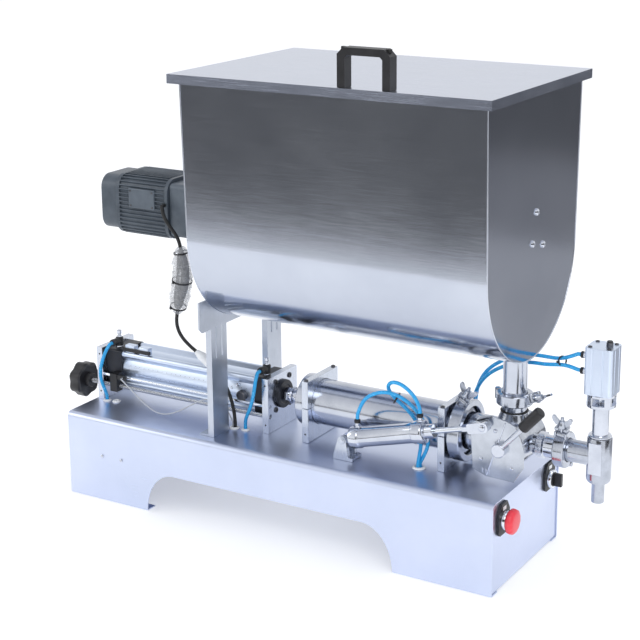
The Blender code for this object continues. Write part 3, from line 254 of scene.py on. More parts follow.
def rod(bm, radius, start, end, axis="X", centre=(0, 0, 0), segments=32, place=IDENTITY, soft=0.0004):
    soft = min(soft, radius * 0.3, abs(end - start) * 0.3)
    low, high = min(start, end), max(start, end)
    profile = [
        (0, low), (radius - soft, low), (radius, low + soft),
        (radius, high - soft), (radius - soft, high), (0, high),
    ]
    lathe(bm, profile, axis, centre, segments, place)


def block(bm, low, high, place=IDENTITY):
    corners = [
        bm.verts.new(place @ Vector((x, y, z)))
        for x in (low[0], high[0]) for y in (low[1], high[1]) for z in (low[2], high[2])
    ]
    for face in ((0, 1, 3, 2), (4, 6, 7, 5), (0, 4, 5, 1), (2, 3, 7, 6), (0, 2, 6, 4), (1, 5, 7, 3)):
        bm.faces.new([corners[index] for index in face])


def sweep(bm, outline, axis, start, end, place=IDENTITY):
    """An outline swept along an axis. The outline is in (Y, Z), (X, Z) or (X, Y)."""
    def at(point, along):
        if axis == "X":
            return place @ Vector((along, point[0], point[1]))
        if axis == "Y":
            return place @ Vector((point[0], along, point[1]))
        return place @ Vector((point[0], point[1], along))

    near = [bm.verts.new(at(point, start)) for point in outline]
    far = [bm.verts.new(at(point, end)) for point in outline]
    bm.faces.new(near)
    bm.faces.new(list(reversed(far)))
    for step in range(len(outline)):
        after = (step + 1) % len(outline)
        bm.faces.new((near[step], far[step], far[after], near[after]))


def hexagon(bm, across, start, end, axis, centre, place=IDENTITY):
    lathe(bm, [(0, start), (across / 1.732, start), (across / 1.732, end), (0, end)], axis, centre, 6, place)


def socket_screw(bm, radius, start, height, axis, centre, place=IDENTITY):
    """A cap screw's head with its hexagon socket; height is negative where the head faces the other way."""
    key = radius * 0.55
    profile = [
        (radius, start), (radius, start + height * 0.85), (radius * 0.88, start + height),
        (key, start + height), (key, start + height * 0.4), (0, start + height * 0.4), (0, start),
    ]
    lathe(bm, profile, axis, centre, 24, place)


def arc(centre, radius, start, end, steps):
    points = []
    for step in range(steps + 1):
        turn = math.radians(start + (end - start) * step / steps)
        points.append((centre[0] + radius * math.cos(turn), centre[1] + radius * math.sin(turn)))
    return points


def rounded_square(half, radius, steps=8, centre=(0, 0)):
    inner = half - radius
    points = []
    for corner, (sy, sz) in enumerate(((1, 1), (-1, 1), (-1, -1), (1, -1))):
        middle = (centre[0] + sy * inner, centre[1] + sz * inner)
        points += arc(middle, radius, 90 * corner, 90 * corner + 90, steps)
    return points


def smooth_route(points, spacing):
    """Even points on a smooth (Catmull-Rom) curve through a given route."""
    knots = [Vector(point) for point in points]
    knots = [knots[0] * 2 - knots[1]] + knots + [knots[-1] * 2 - knots[-2]]
    fine = []
    for index in range(1, len(knots) - 2):
        before, one, two, after = knots[index - 1:index + 3]
        for step in range(24):
            t = step / 24
            fine.append(0.5 * (
                one * 2
                + (two - before) * t
                + (before * 2 - one * 5 + two * 4 - after) * t ** 2
                + (one * 3 - before - two * 3 + after) * t ** 3
            ))
    fine.append(knots[-2])
    travelled = [0.0]
    for one, two in zip(fine, fine[1:]):
        travelled.append(travelled[-1] + (two - one).length)
    count = max(2, round(travelled[-1] / spacing))
    route = []
    index = 0
    for step in range(count + 1):
        target = travelled[-1] * step / count
        while index < len(fine) - 2 and travelled[index + 1] < target:
            index += 1
        share = (target - travelled[index]) / max(1e-9, travelled[index + 1] - travelled[index])
        route.append(fine[index].lerp(fine[index + 1], share))
    return route


def tube_mesh(bm, route, radius, sides=20, radii=None):
    """A round tube along a route, with its ends closed."""
    rings = []
    side = None
    for index, point in enumerate(route):
        before, after = route[max(index - 1, 0)], route[min(index + 1, len(route) - 1)]
        ahead = (after - before).normalized()
        if side is None:
            side = ahead.orthogonal().normalized()
        side = (side - ahead * side.dot(ahead)).normalized()
        up = ahead.cross(side)
        wide = radii[index] if radii else radius
        rings.append([
            bm.verts.new(point + wide * (math.cos(turn) * side + math.sin(turn) * up))
            for turn in (2 * math.pi * step / sides for step in range(sides))
        ])
    for one, two in zip(rings, rings[1:]):
        for step in range(sides):
            after = (step + 1) % sides
            bm.faces.new((one[step], one[after], two[after], two[step]))
    bm.faces.new(rings[0])
    bm.faces.new(list(reversed(rings[-1])))


def piece(name, bm, material, body="machine", stands_for=(), edge=0.0004, rides=True, angle=34):
    """Makes an object of the mesh, softens its edges, and puts it on its body."""
    bmesh.ops.recalc_face_normals(bm, faces=bm.faces[:])
    mesh = bpy.data.meshes.new(name)
    bm.to_mesh(mesh)
    bm.free()
    mesh.shade_smooth()
    mesh.set_sharp_from_angle(angle=math.radians(angle))
    mesh.materials.append(M[material])
    made = bpy.data.objects.new(name, mesh)
    made.location.x = SHIFT
    bpy.context.scene.collection.objects.link(made)
    if edge:
        soft = made.modifiers.new("Soft edges", "BEVEL")
        soft.width = edge
        soft.segments = 2
        soft.limit_method = "ANGLE"
        soft.angle_limit = math.radians(38)
        soft.use_clamp_overlap = True
    if rides:
        bpy.context.view_layer.update()
        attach(made, body)
    if stands_for:
        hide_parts(*stands_for)
    return made


def shape():
    return bmesh.new()


def cut_mesh(bm, cutters):
    """The solid in bm with the solids in cutters taken away, as a new bmesh."""
    def temporary(source):
        bmesh.ops.recalc_face_normals(source, faces=source.faces[:])
        mesh = bpy.data.meshes.new("temporary")
        source.to_mesh(mesh)
        source.free()
        made = bpy.data.objects.new("temporary", mesh)
        bpy.context.scene.collection.objects.link(made)
        return made

    target = temporary(bm)
    tools = [temporary(cutter) for cutter in cutters]
    for tool in tools:
        step = target.modifiers.new("cut", "BOOLEAN")
        step.operation = "DIFFERENCE"
        step.solver = "EXACT"
        step.object = tool
    bpy.context.view_layer.update()
    result = bmesh.new()
    ready = target.evaluated_get(bpy.context.evaluated_depsgraph_get())
    result.from_mesh(ready.to_mesh())
    ready.to_mesh_clear()
    for made in [target] + tools:
        mesh = made.data
        bpy.data.objects.remove(made, do_unlink=True)
        bpy.data.meshes.remove(mesh)
    return result


# ---------------------------------------------------------------- camera
def place_camera():
    yaw, pitch, roll = (math.radians(value) for value in (-30.42, 14.652, -0.27))
    ahead = Vector((math.sin(yaw) * math.cos(pitch), math.cos(yaw) * math.cos(pitch), -math.sin(pitch)))
    right = ahead.cross(Vector((0, 0, 1))).normalized()
    up = right.cross(ahead)
    right, up = (
        right * math.cos(roll) + up * math.sin(roll),
        up * math.cos(roll) - right * math.sin(roll),
    )
    data = bpy.data.cameras.new("camera")
    data.sensor_width = 36.0
    data.lens = 88.16
    data.shift_x = -0.04
    data.shift_y = -0.10
    data.clip_start = 0.05
    data.clip_end = 60.0
    camera = bpy.data.objects.new("camera", data)
    bpy.context.scene.collection.objects.link(camera)
    turn = Matrix((right, up, -ahead)).transposed().to_4x4()
    camera.matrix_world = Matrix.Translation((1.2661, -2.0967, 1.0991)) @ turn
    bpy.context.scene.camera = camera


# ---------------------------------------------------------------- hoses and cables
HOSES = {
    "hose_air_rear": (
        (-0.3740, -0.0374, 0.2550), (-0.3740, -0.0440, 0.2548), (-0.3752, -0.0545, 0.2455),
        (-0.3790, -0.0590, 0.2300), (-0.3838, -0.0600, 0.2150), (-0.3855, -0.0590, 0.1950),
        (-0.3835, -0.0545, 0.1780), (-0.3815, -0.0490, 0.1660), (-0.3815, -0.0480, 0.1570),
    ),
    "hose_air_front": (
        (-0.0630, -0.0374, 0.2550), (-0.0630, -0.0440, 0.2548), (-0.0610, -0.0545, 0.2455),
        (-0.0600, -0.0590, 0.2290), (-0.0640, -0.0600, 0.2110), (-0.0715, -0.0590, 0.1900),
        (-0.0810, -0.0545, 0.1760), (-0.0868, -0.0485, 0.1660), (-0.0872, -0.0474, 0.1570),
    ),
    "hose_actuator_rear": (
        (0.1418, -0.0680, 0.2196), (0.1422, -0.0680, 0.2270), (0.1470, -0.0680, 0.2410),
        (0.1580, -0.0680, 0.2585), (0.1840, -0.0680, 0.2720), (0.2050, -0.0660, 0.2725),
        (0.2200, -0.0600, 0.2650), (0.2350, -0.0520, 0.2500), (0.2490, -0.0470, 0.2290),
        (0.2570, -0.0455, 0.2050), (0.2555, -0.0460, 0.1820), (0.2475, -0.0472, 0.1670),
        (0.2433, -0.0468, 0.1570),
    ),
    "hose_actuator_front": (
        (0.2538, -0.0680, 0.2495), (0.2532, -0.0680, 0.2560), (0.2490, -0.0690, 0.2700),
        (0.2370, -0.0700, 0.2830), (0.2200, -0.0695, 0.2925), (0.2020, -0.0655, 0.2915),
        (0.1900, -0.0590, 0.2800), (0.1950, -0.0525, 0.2640), (0.2100, -0.0475, 0.2505),
        (0.2255, -0.0440, 0.2360), (0.2380, -0.0430, 0.2190), (0.2440, -0.0440, 0.2000),
        (0.2450, -0.0480, 0.1820), (0.2437, -0.0525, 0.1670), (0.2433, -0.0536, 0.1570),
    ),
    "hose_nozzle_upper": (
        (0.4920, 0.0000, 0.3640), (0.4830, 0.0010, 0.3634), (0.4640, 0.0080, 0.3530),
        (0.4450, 0.0180, 0.3450), (0.4250, 0.0260, 0.3420), (0.4020, 0.0340, 0.3390),
        (0.3750, 0.0430, 0.3320), (0.3450, 0.0490, 0.3190), (0.3200, 0.0520, 0.3030),
        (0.3020, 0.0545, 0.2830), (0.2900, 0.0590, 0.2550), (0.2855, 0.0640, 0.2250),
        (0.2835, 0.0690, 0.1950), (0.2830, 0.0713, 0.1700), (0.2830, 0.0713, 0.1570),
    ),
    "hose_nozzle_lower": (
        (0.4920, 0.0000, 0.3390), (0.4830, 0.0007, 0.3391), (0.4640, 0.0060, 0.3410),
        (0.4440, 0.0125, 0.3370), (0.4240, 0.0185, 0.3320), (0.4010, 0.0260, 0.3290),
        (0.3740, 0.0350, 0.3220), (0.3440, 0.0420, 0.3090), (0.3190, 0.0450, 0.2930),
        (0.3010, 0.0475, 0.2730), (0.2890, 0.0515, 0.2470), (0.2840, 0.0565, 0.2200),
        (0.2825, 0.0620, 0.1920), (0.2830, 0.0647, 0.1700), (0.2830, 0.0647, 0.1570),
    ),
}
SENSOR_WIRE = (
    (-0.3440, -0.0499, 0.1985), (-0.3438, -0.0545, 0.1985), (-0.3330, -0.0610, 0.1975),
    (-0.3120, -0.0640, 0.1850), (-0.2880, -0.0650, 0.1680), (-0.2660, -0.0650, 0.1565),
    (-0.2480, -0.0650, 0.1540), (-0.2320, -0.0640, 0.1575), (-0.2110, -0.0625, 0.1670),
    (-0.1895, -0.0605, 0.1800), (-0.1700, -0.0580, 0.1920), (-0.1500, -0.0560, 0.1960),
    (-0.1330, -0.0535, 0.1900), (-0.1205, -0.0500, 0.1780), (-0.1130, -0.0489, 0.1660),
    (-0.1119, -0.0489, 0.1570),
)
MOTOR_CABLE = (
    (-0.2370, -0.0530, 0.5220), (-0.2370, -0.0600, 0.5212), (-0.2310, -0.0660, 0.5080),
    (-0.2180, -0.0645, 0.4890), (-0.2085, -0.0560, 0.4700), (-0.2060, -0.0540, 0.4540),
    (-0.2040, -0.0520, 0.4300), (-0.2065, -0.0500, 0.4000), (-0.2140, -0.0480, 0.3700),
    (-0.2220, -0.0450, 0.3420), (-0.2280, -0.0430, 0.3180), (-0.2230, -0.0420, 0.2980),
    (-0.2090, -0.0420, 0.2840), (-0.1890, -0.0440, 0.2730), (-0.1680, -0.0470, 0.2630),
    (-0.1470, -0.0480, 0.2480), (-0.1280, -0.0480, 0.2270), (-0.1155, -0.0480, 0.2030),
    (-0.1085, -0.0489, 0.1780), (-0.1071, -0.0489, 0.1660), (-0.1071, -0.0489, 0.1570),
)


def cord_route(points):
    """Even points along a cord: straight at both ends, with the bends between them evened out."""
    route = [Vector(points[0])] + smooth_route(points[1:], 0.0025)
    x, y, _ = points[-1]
    route.append(Vector((x, y, 0.1385)))
    for _ in range(30):
        route[3:-3] = [
            (before + here * 2 + after) / 4
            for before, here, after in zip(route[2:-4], route[3:-3], route[4:-2])
        ]
    return route


def make_cord(name, points, radius, material, blend_from=None):
    route = cord_route(points)
    bm = shape()
    tube_mesh(bm, route, radius)
    made = piece(f"{name}_look", bm, material, "machine", (name,), 0, rides=blend_from is None, angle=60)
    if blend_from:
        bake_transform(made)
    return made


def collar(bm, start, end, radius, wall=0.0016, bore=0.0031):
    """A push-in collar round a hose, between two points."""
    along = Vector(end) - Vector(start)
    place = Matrix.Translation(start) @ along.to_track_quat("Z", "Y").to_matrix().to_4x4()
    long = along.length
    profile = [
        (bore, 0), (radius - wall, 0), (radius, wall * 0.6), (radius, long - wall * 0.6),
        (radius - wall * 0.6, long), (bore, long),
    ]
    lathe(bm, profile, "Z", (0, 0, 0), 32, place)


def tie(bm, centre, direction, radius, width=0.0028, thick=0.0010):
    place = Matrix.Translation(centre) @ Vector(direction).to_track_quat("Z", "Y").to_matrix().to_4x4()
    profile = [
        (radius, -width / 2), (radius + thick, -width / 2),
        (radius + thick, width / 2), (radius, width / 2),
    ]
    lathe(bm, profile, "Z", (0, 0, 0), 28, place)
    block(bm, (radius, -0.0018, -0.002), (radius + 0.0035, 0.0018, 0.002), place)


def make_cords():
    for name, points in HOSES.items():
        blend_from, span = None, None
        if name.startswith("hose_actuator"):
            blend_from = "actuator_housing"
            span = (points[0], points[8])
        make_cord(name, points, CORD_RADIUS, "hose", blend_from)
    span = (SENSOR_WIRE[0], SENSOR_WIRE[6])
    make_cord("sensor_wire", SENSOR_WIRE, WIRE_RADIUS, "wire", "carriage")

    route = cord_route(MOTOR_CABLE)
    bm = shape()
    tube_mesh(bm, route, CORD_RADIUS)
    cable = piece("motor_cable_look", bm, "rubber", "machine", ("motor_cable",), 0, angle=60)

    low, high = WRAP_HEIGHTS
    bundle = [point for point in route if low < point.z < high and point.x < -0.19]
    coil = shape()
    for turn in range(5):
        offset = 2 * math.pi * turn / 5
        loop = []
        for index, point in enumerate(bundle[4:-4]):
            share = index / (len(bundle) - 9)
            wide = 0.0095 * math.sin(math.pi * share) ** 0.35
            swing = offset + 1.2 * share
            loop.append(point + Vector((wide * math.cos(swing), wide * 0.8 * math.sin(swing), 0)))
        tube_mesh(coil, loop, CORD_RADIUS, 12)
    coiled = piece("cable_coil", coil, "rubber", "machine", (), 0, angle=60)

    film = shape()
    radii = []
    for index in range(len(bundle)):
        share = index / (len(bundle) - 1)
        swell = 0.0055 + 0.0115 * min(1.0, math.sin(math.pi * share) * 1.7) ** 0.7
        radii.append(swell * (1 + 0.05 * math.sin(37 * share) + 0.04 * math.sin(91 * share)))
    tube_mesh(film, bundle, 0.016, 36, radii)
    wrap = piece("cable_wrap", film, "film", "machine", (), 0, angle=60)

    ties = shape()
    for share in (0.10, 0.50, 0.90):
        index = int(share * (len(bundle) - 1))
        direction = bundle[min(index + 2, len(bundle) - 1)] - bundle[max(index - 2, 0)]
        tie(ties, bundle[index], direction, radii[index] - 0.0002)
    tied = piece("cable_ties", ties, "black", "machine", (), 0.0002)

    sleeve = shape()
    low, high = CONNECTOR_HEIGHTS
    along = [point for point in route if low <= point.z < high]
    shape_radii = []
    for index in range(len(along)):
        share = index / (len(along) - 1)
        shape_radii.append(0.0048 + 0.0032 * min(1, 6 * share) * min(1, 6 * (1 - share)))
    tube_mesh(sleeve, along, 0.008, 28, shape_radii)
    connector = piece("cable_connector", sleeve, "white", "machine", (), 0, angle=60)

    bm = shape()
    tie(bm, (0.4540, 0.0120, 0.3445), (-0.9, 0.42, -0.14), 0.0072)
    piece("nozzle_hose_tie", bm, "black", "machine", (), 0.0002)
    bm = shape()
    tie(bm, (0.2070, -0.0575, 0.2625), (0.8, 0.25, -0.5), 0.0086)
    piece("actuator_hose_tie", bm, "black", "machine", (), 0.0002)


# ---------------------------------------------------------------- base cabinet
GROMMETS = {
    "grommets_left": ((-0.3815, -0.0480, 0.0034), (-0.3640, -0.0445, 0.0034)),
    "grommets_middle": ((-0.1086, -0.0489, 0.0048), (-0.0872, -0.0474, 0.0034)),
    "grommet_actuator": ((0.2433, -0.0502, 0.0067),),
    "grommet_nozzle": ((0.2830, 0.0680, 0.0067),),
}


def base_outline():
    half, top, turn, sheet, foot = 0.1255, 0.150, 0.009, 0.002, 0.022
    outer = [(half - foot, 0), (half - 0.002, 0)] + arc((half - 0.002, 0.002), 0.002, -90, 0, 4)[1:]
    outer += arc((half - turn, top - turn), turn, 0, 90, 14)
    outer += [(-y, z) for y, z in reversed(outer)]
    inner = [(half - foot, sheet), (half - sheet, sheet)]
    inner += arc((half - turn, top - turn), turn - sheet, 0, 90, 14)
    inner += [(-y, z) for y, z in reversed(inner)]
    return outer + list(reversed(inner))


def arch_outline():
    left, right, high, corner, steps = -0.240, 0.236, 0.073, 0.056, 28
    points = [(left, -0.02)]
    for step in range(steps + 1):
        turn = math.pi / 2 * step / steps
        points.append((left + corner * (1 - math.cos(turn)), high * math.sin(turn)))
    for step in range(steps, -1, -1):
        turn = math.pi / 2 * step / steps
        points.append((right - corner * (1 - math.cos(turn)), high * math.sin(turn)))
    points.append((right, -0.02))
    return points


def make_base():
    body = shape()
    sweep(body, base_outline(), "X", -0.4075, 0.4075)
    arch = shape()
    sweep(arch, arch_outline(), "Y", -0.2, 0.2)
    holes = shape()
    for rings in GROMMETS.values():
        for x, y, bore in rings:
            wide = bore + 0.0019
            lathe(holes, [(0, 0.14), (wide, 0.14), (wide, 0.16), (0, 0.16)], "Z", (x, y, 0), 40)
    piece("housing", cut_mesh(body, [arch, holes]), "side", "machine", ("base_housing",), 0.0004)

    for name, rings in GROMMETS.items():
        bm = shape()
        for x, y, bore in rings:
            neck, wide = bore + 0.0016, bore + 0.0040
            profile = [
                (bore, 0.1405), (neck, 0.1405), (neck, DECK), (wide, DECK), (wide + 0.0002, DECK + 0.0007),
                (wide - 0.0004, DECK + 0.0016), (wide - 0.0014, DECK + 0.0026),
                (bore + 0.0012, DECK + 0.0032),
                (bore + 0.0004, DECK + 0.0031), (bore, DECK + 0.0026),
            ]
            lathe(bm, profile, "Z", (x, y, 0), 48)
        if len(rings) == 2:
            (x0, y0, bore0), (x1, y1, bore1) = rings
            low = (x0 + bore0 + 0.0008, min(y0, y1) - 0.002, 0.1405)
            block(bm, low, (x1 - bore1 - 0.0008, max(y0, y1) + 0.002, 0.1447))
        piece(f"{name}_look", bm, "white", "machine", (name,), 0, angle=50)

    bm = shape()
    for x in (-0.334, -0.293):
        profile = [(0, -0.1279), (0.0016, -0.1277), (0.0030, -0.1268), (0.0034, -0.1256), (0, -0.1250)]
        lathe(bm, profile, "Y", (x, 0, 0.0815), 32)
        block(bm, (x - 0.0022, -0.12805, 0.0811), (x + 0.0022, -0.1276, 0.0819))
    piece("side_screws", bm, "polished", "machine", (), 0)


# ---------------------------------------------------------------- operator controls
def make_controls():
    face = 0.4055
    for name, y, z in (("estop", -0.089, 0.114), ("selector", 0.085, 0.118)):
        bm = shape()
        lathe(bm, [(0.0135, face + 0.0043), (0.0150, face + 0.0043), (0.0150, face + 0.0100),
                   (0.0142, face + 0.0112), (0.0108, face + 0.0112), (0.0108, face + 0.0043)],
              "X", (0, y, z), 56)
        piece(f"{name}_bezel", bm, "chrome", "machine", (), 0.0003)
        bm = shape()
        block(bm, (face + 0.0042, y - 0.0055, z + 0.0165), (face + 0.0046, y + 0.0055, z + 0.0225))
        piece(f"{name}_window", bm, "white", "machine", (), 0.0001)
    cap = face + 0.0115
    bm = shape()
    profile = [
        (0, face - 0.020), (0.0096, face - 0.020), (0.0096, cap - 0.002), (0.0150, cap - 0.0004),
        (0.0168, cap), (0.0192, cap + 0.0022), (0.0200, cap + 0.0045), (0.0200, cap + 0.0072),
        (0.0192, cap + 0.0098), (0.0172, cap + 0.0117), (0.0130, cap + 0.0127), (0.0070, cap + 0.0130),
        (0, cap + 0.0130),
    ]
    lathe(bm, profile, "X", (0, -0.089, 0.114), 80)
    for vert in bm.verts:
        y, z = vert.co.y + 0.089, vert.co.z - 0.114
        wide = math.hypot(y, z)
        if wide > 0.0165:
            scale = 1 - 0.035 * (0.5 + 0.5 * math.cos(12 * math.atan2(z, y)))
            vert.co.y, vert.co.z = -0.089 + y * scale, 0.114 + z * scale
    piece("estop_head", bm, "red", "estop", ("estop_button",), 0, angle=40)

    bm = shape()
    knob = face + 0.0055
    lathe(bm, [(0, face - 0.020), (0.0098, face - 0.020), (0.0098, knob), (0.0122, knob),
               (0.0125, knob + 0.0006),
               (0.0125, knob + 0.0046), (0.0112, knob + 0.0064), (0, knob + 0.0066)], "X",
               (0, 0.085, 0.118), 72)
    for step in range(24):
        turn = 2 * math.pi * step / 24
        place = Matrix.Translation((knob + 0.0026, 0.085, 0.118)) @ Matrix.Rotation(turn, 4, "X")
        block(bm, (-0.0022, -0.0006, 0.0119), (0.0022, 0.0006, 0.0128), place)
    sweep(bm, [(0.085 - 0.0036, 0.1080), (0.085 - 0.0024, 0.1072), (0.085 + 0.0024, 0.1072),
               (0.085 + 0.0036, 0.1080),
               (0.085 + 0.0040, 0.1180), (0.085 + 0.0036, 0.1280), (0.085 + 0.0024, 0.1288),
               (0.085 - 0.0024, 0.1288),
               (0.085 - 0.0036, 0.1280), (0.085 - 0.0040, 0.1180)], "X", knob + 0.005, knob + 0.019)
    piece("selector_handle", bm, "black", "selector", ("selector_knob",), 0.0005)


# ---------------------------------------------------------------- air cylinder
def air_fitting(name, x, top):
    """A flow-control elbow: black body and collar, steel needle with its knob."""
    bm = shape()
    rod(bm, 0.0068, top + 0.0035, top + 0.0190, "Z", (x, -0.016, 0), 40, soft=0.0010)
    rod(bm, 0.0058, -0.0300, -0.0140, "Y", (x, 0, top + 0.0130), 36, soft=0.0010)
    collar(bm, (x, -0.0296, top + 0.0130), (x, -0.0372, top + 0.0130), 0.0062)
    piece(f"{name}_fitting", bm, "black", "machine", (), 0.0003)
    bm = shape()
    hexagon(bm, 0.0125, top, top + 0.0040, "Z", (x, -0.016, 0))
    rod(bm, 0.0030, top + 0.0185, top + 0.0250, "Z", (x, -0.016, 0), 28)
    hexagon(bm, 0.0075, top + 0.0195, top + 0.0218, "Z", (x, -0.016, 0))
    rod(bm, 0.0042, top + 0.0245, top + 0.0320, "Z", (x, -0.016, 0), 28, soft=0.0012)
    piece(f"{name}_needle", bm, "polished", "machine", (), 0.0003)


def barrel_outline():
    wall, rib_centre, rib = 0.0300, 0.0365, 0.0062
    reach = math.degrees(math.asin(rib / rib_centre))
    points = []
    for corner in range(4):
        middle = 45 + 90 * corner
        for step in range(21):
            offset = math.radians(reach * 0.98 * (-1 + 2 * step / 20))
            along = rib_centre * math.cos(offset)
            along += math.sqrt(max(0, rib ** 2 - (rib_centre * math.sin(offset)) ** 2))
            turn = math.radians(middle) + offset
            points.append((along * math.cos(turn), LINE_Z + along * math.sin(turn)))
        points += arc((0, LINE_Z), wall, middle + reach + 3.5, middle + 90 - reach - 3.5, 20)
    return points


def make_air_cylinder():
    top = LINE_Z + 0.033
    square = rounded_square(0.033, 0.005, 5, (0, LINE_Z))
    bm = shape()
    sweep(bm, square, "X", -0.3907, -0.3580)
    piece("rear_cap", bm, "cap", "machine", ("air_rear_cap",), 0.0008)
    bm = shape()
    sweep(bm, square, "X", -0.0778, -0.0548)
    gland = [
        (0.0088, -0.058), (0.0242, -0.058), (0.0242, -0.0375), (0.0235, -0.0365), (0.0165, -0.0365),
        (0.0160, -0.0375), (0.0120, -0.0375), (0.0115, -0.0365), (0.0088, -0.0365),
    ]
    lathe(bm, gland, "X", (0, 0, LINE_Z), 72)
    piece("front_cap", bm, "cap", "machine", ("air_front_cap",), 0.0006)
    air_fitting("rear", -0.3740, top)
    air_fitting("front", -0.0630, top)

    bm = shape()
    sweep(bm, barrel_outline(), "X", -0.3577, -0.0781)
    piece("cylinder_barrel", bm, "anodised", "machine", ("air_barrel",), 0.0004)
    dots = shape()
    for turn, first in ((-14, 0.0), (14, 0.004)):
        y = -0.0300 * math.cos(math.radians(turn))
        z = LINE_Z + 0.0300 * math.sin(math.radians(turn))
        for step in range(26):
            place = Matrix.Translation((-0.345 + first + 0.0098 * step, y,
                                        z)) @ Matrix.Rotation(math.radians(-turn), 4, "X")
            rod(dots, 0.0009, -0.0002, 0.0009, "Y", (0, 0, 0), 12, place, soft=0.0001)
    piece("barrel_marks", dots, "plate", "machine", (), 0)

    bm = shape()
    knob_y = -0.0300
    rod(bm, 0.0085, knob_y - 0.0100, knob_y + 0.002, "Y", (-0.1020, 0, LINE_Z - 0.004), 48, soft=0.0012)
    for step in range(20):
        place = Matrix.Translation((-0.1020, knob_y - 0.0045,
                                    LINE_Z - 0.004)) @ Matrix.Rotation(2 * math.pi * step / 20, 4, "Y")
        block(bm, (-0.0007, -0.0042, 0.0080), (0.0007, 0.0042, 0.0091), place)
    piece("cushion_knob", bm, "dark_metal", "machine", (), 0.0002)
    bm = shape()
    socket_screw(bm, 0.0032, knob_y + 0.0015, -0.0030, "Y", (-0.1130, 0, LINE_Z + 0.012))
    socket_screw(bm, 0.0024, knob_y + 0.0015, -0.0025, "Y", (-0.1260, 0, LINE_Z + 0.004))
    piece("cushion_screws", bm, "polished", "machine", (), 0)

    bm = shape()
    for x in (-0.352, -0.322):
        block(bm, (x, -0.0290, LINE_Z + 0.0305), (x + 0.020, -0.0170, LINE_Z + 0.0445))
    piece("reed_clamps", bm, "anodised", "machine", (), 0.0010)
    bm = shape()
    block(bm, (-0.356, -0.0315, LINE_Z + 0.0330), (-0.298, -0.0262, LINE_Z + 0.0392))
    piece("reed_switch", bm, "black", "machine", (), 0.0006)

    bm = shape()
    for y in (-0.0215, 0.0215):
        for z in (LINE_Z - 0.023, LINE_Z + 0.026):
            socket_screw(bm, 0.0046, -0.0426, 0.0022, "X", (0, y, z))
    for y, z in ((-0.0215, LINE_Z - 0.023), (0.0215, LINE_Z + 0.026), (0.0215, LINE_Z - 0.023),
                 (-0.0215, LINE_Z + 0.026)):
        socket_screw(bm, 0.0046, -0.4030, -0.0022, "X", (0, y, z))
    piece("cylinder_screws", bm, "dark_metal", "machine", (), 0)
    bm = shape()
    for span in ((-0.4030, -0.3910), (-0.0545, -0.0425), (0.0250, 0.0370), (0.2740, 0.2860)):
        x = (span[0] + span[1]) / 2
        half, top_z = (0.045, 0.246) if span[0] < 0 else (0.048, 0.256)
        for z in (0.165, top_z - 0.012):
            if span[0] > 0 and z > 0.2:
                continue
            socket_screw(bm, 0.0016, -half + 0.0002, -0.0005, "Y", (x, 0, z))
        if span[0] > 0:
            for y in (-0.043, 0.043):
                socket_screw(bm, 0.0036, top_z - 0.0002, 0.0022, "Z", (x, y, 0))
    piece("plate_screws", bm, "dark_metal", "machine", (), 0)

    bm = shape()
    r = 0.008
    lathe(bm, [(0, -0.345), (0.0247, -0.345), (0.0247, -0.325), (r, -0.325), (r, -0.0345), (r, -0.0225),
               (r, -0.0060), (0, -0.0060)], "X", (0, 0, LINE_Z), 64)
    piece("air_rod", bm, "chrome", "piston", ("air_piston_rod",), 0.0003)
    bm = shape()
    hexagon(bm, 0.0215, -0.0345, -0.0265, "X", (0, 0, LINE_Z))
    lathe(bm, [(0.0085, -0.0225), (0.0135, -0.0225), (0.0145, -0.0215), (0.0145, -0.0175), (0.0105, -0.0165),
               (0.0105, -0.0125), (0.0145, -0.0115), (0.0145, -0.0060), (0.0135, -0.0050), (0.0085, -0.0050)],
          "X", (0, 0, LINE_Z), 64)
    piece("rod_coupling", bm, "polished", "piston", (), 0.0004)


def make_stroke_setting():
    y, z = -0.0385, 0.179
    points = 168
    bm = shape()
    rings = []
    for x, inset in ((-0.4290, 0.006), (-0.4280, 0.0035), (-0.4310, 0.0005), (-0.4480, 0.0005),
                     (-0.4505, 0.0022), (-0.4518, 0.0062), (-0.4512, 0.0120), (-0.4500, 0.0180)):
        ring = []
        for step in range(points):
            turn = 2 * math.pi * step / points
            lobe = math.cos(7 * turn)
            radius = 0.0303 + 0.0017 * lobe - inset
            ring.append(bm.verts.new((x, y + radius * math.cos(turn), z + radius * math.sin(turn))))
        rings.append(ring)
    for one, two in zip(rings, rings[1:]):
        for step in range(points):
            after = (step + 1) % points
            bm.faces.new((one[step], one[after], two[after], two[step]))
    bm.faces.new(rings[0])
    bm.faces.new(rings[-1])
    lathe(bm, [(0.0044, -0.4420), (0.0044, -0.4200), (0.0112, -0.4200), (0.0120, -0.4212), (0.0128, -0.4300),
               (0.0128, -0.4420)], "X", (0, y, z), 56)
    piece("hand_wheel", bm, "black", "stroke_setting", ("handwheel",), 0, angle=42)
    bm = shape()
    rod(bm, 0.0040, -0.4445, -0.0450, "X", (0, y, z), 40)
    piece("screw_bar", bm, "thread", "stroke_setting", ("stroke_screw",), 0)
    bm = shape()
    rod(bm, 0.0030, -0.4020, -0.0450, "X", (0, y, 0.196), 32)
    piece("guide_bar", bm, "chrome", "machine", ("guide_rod",), 0)


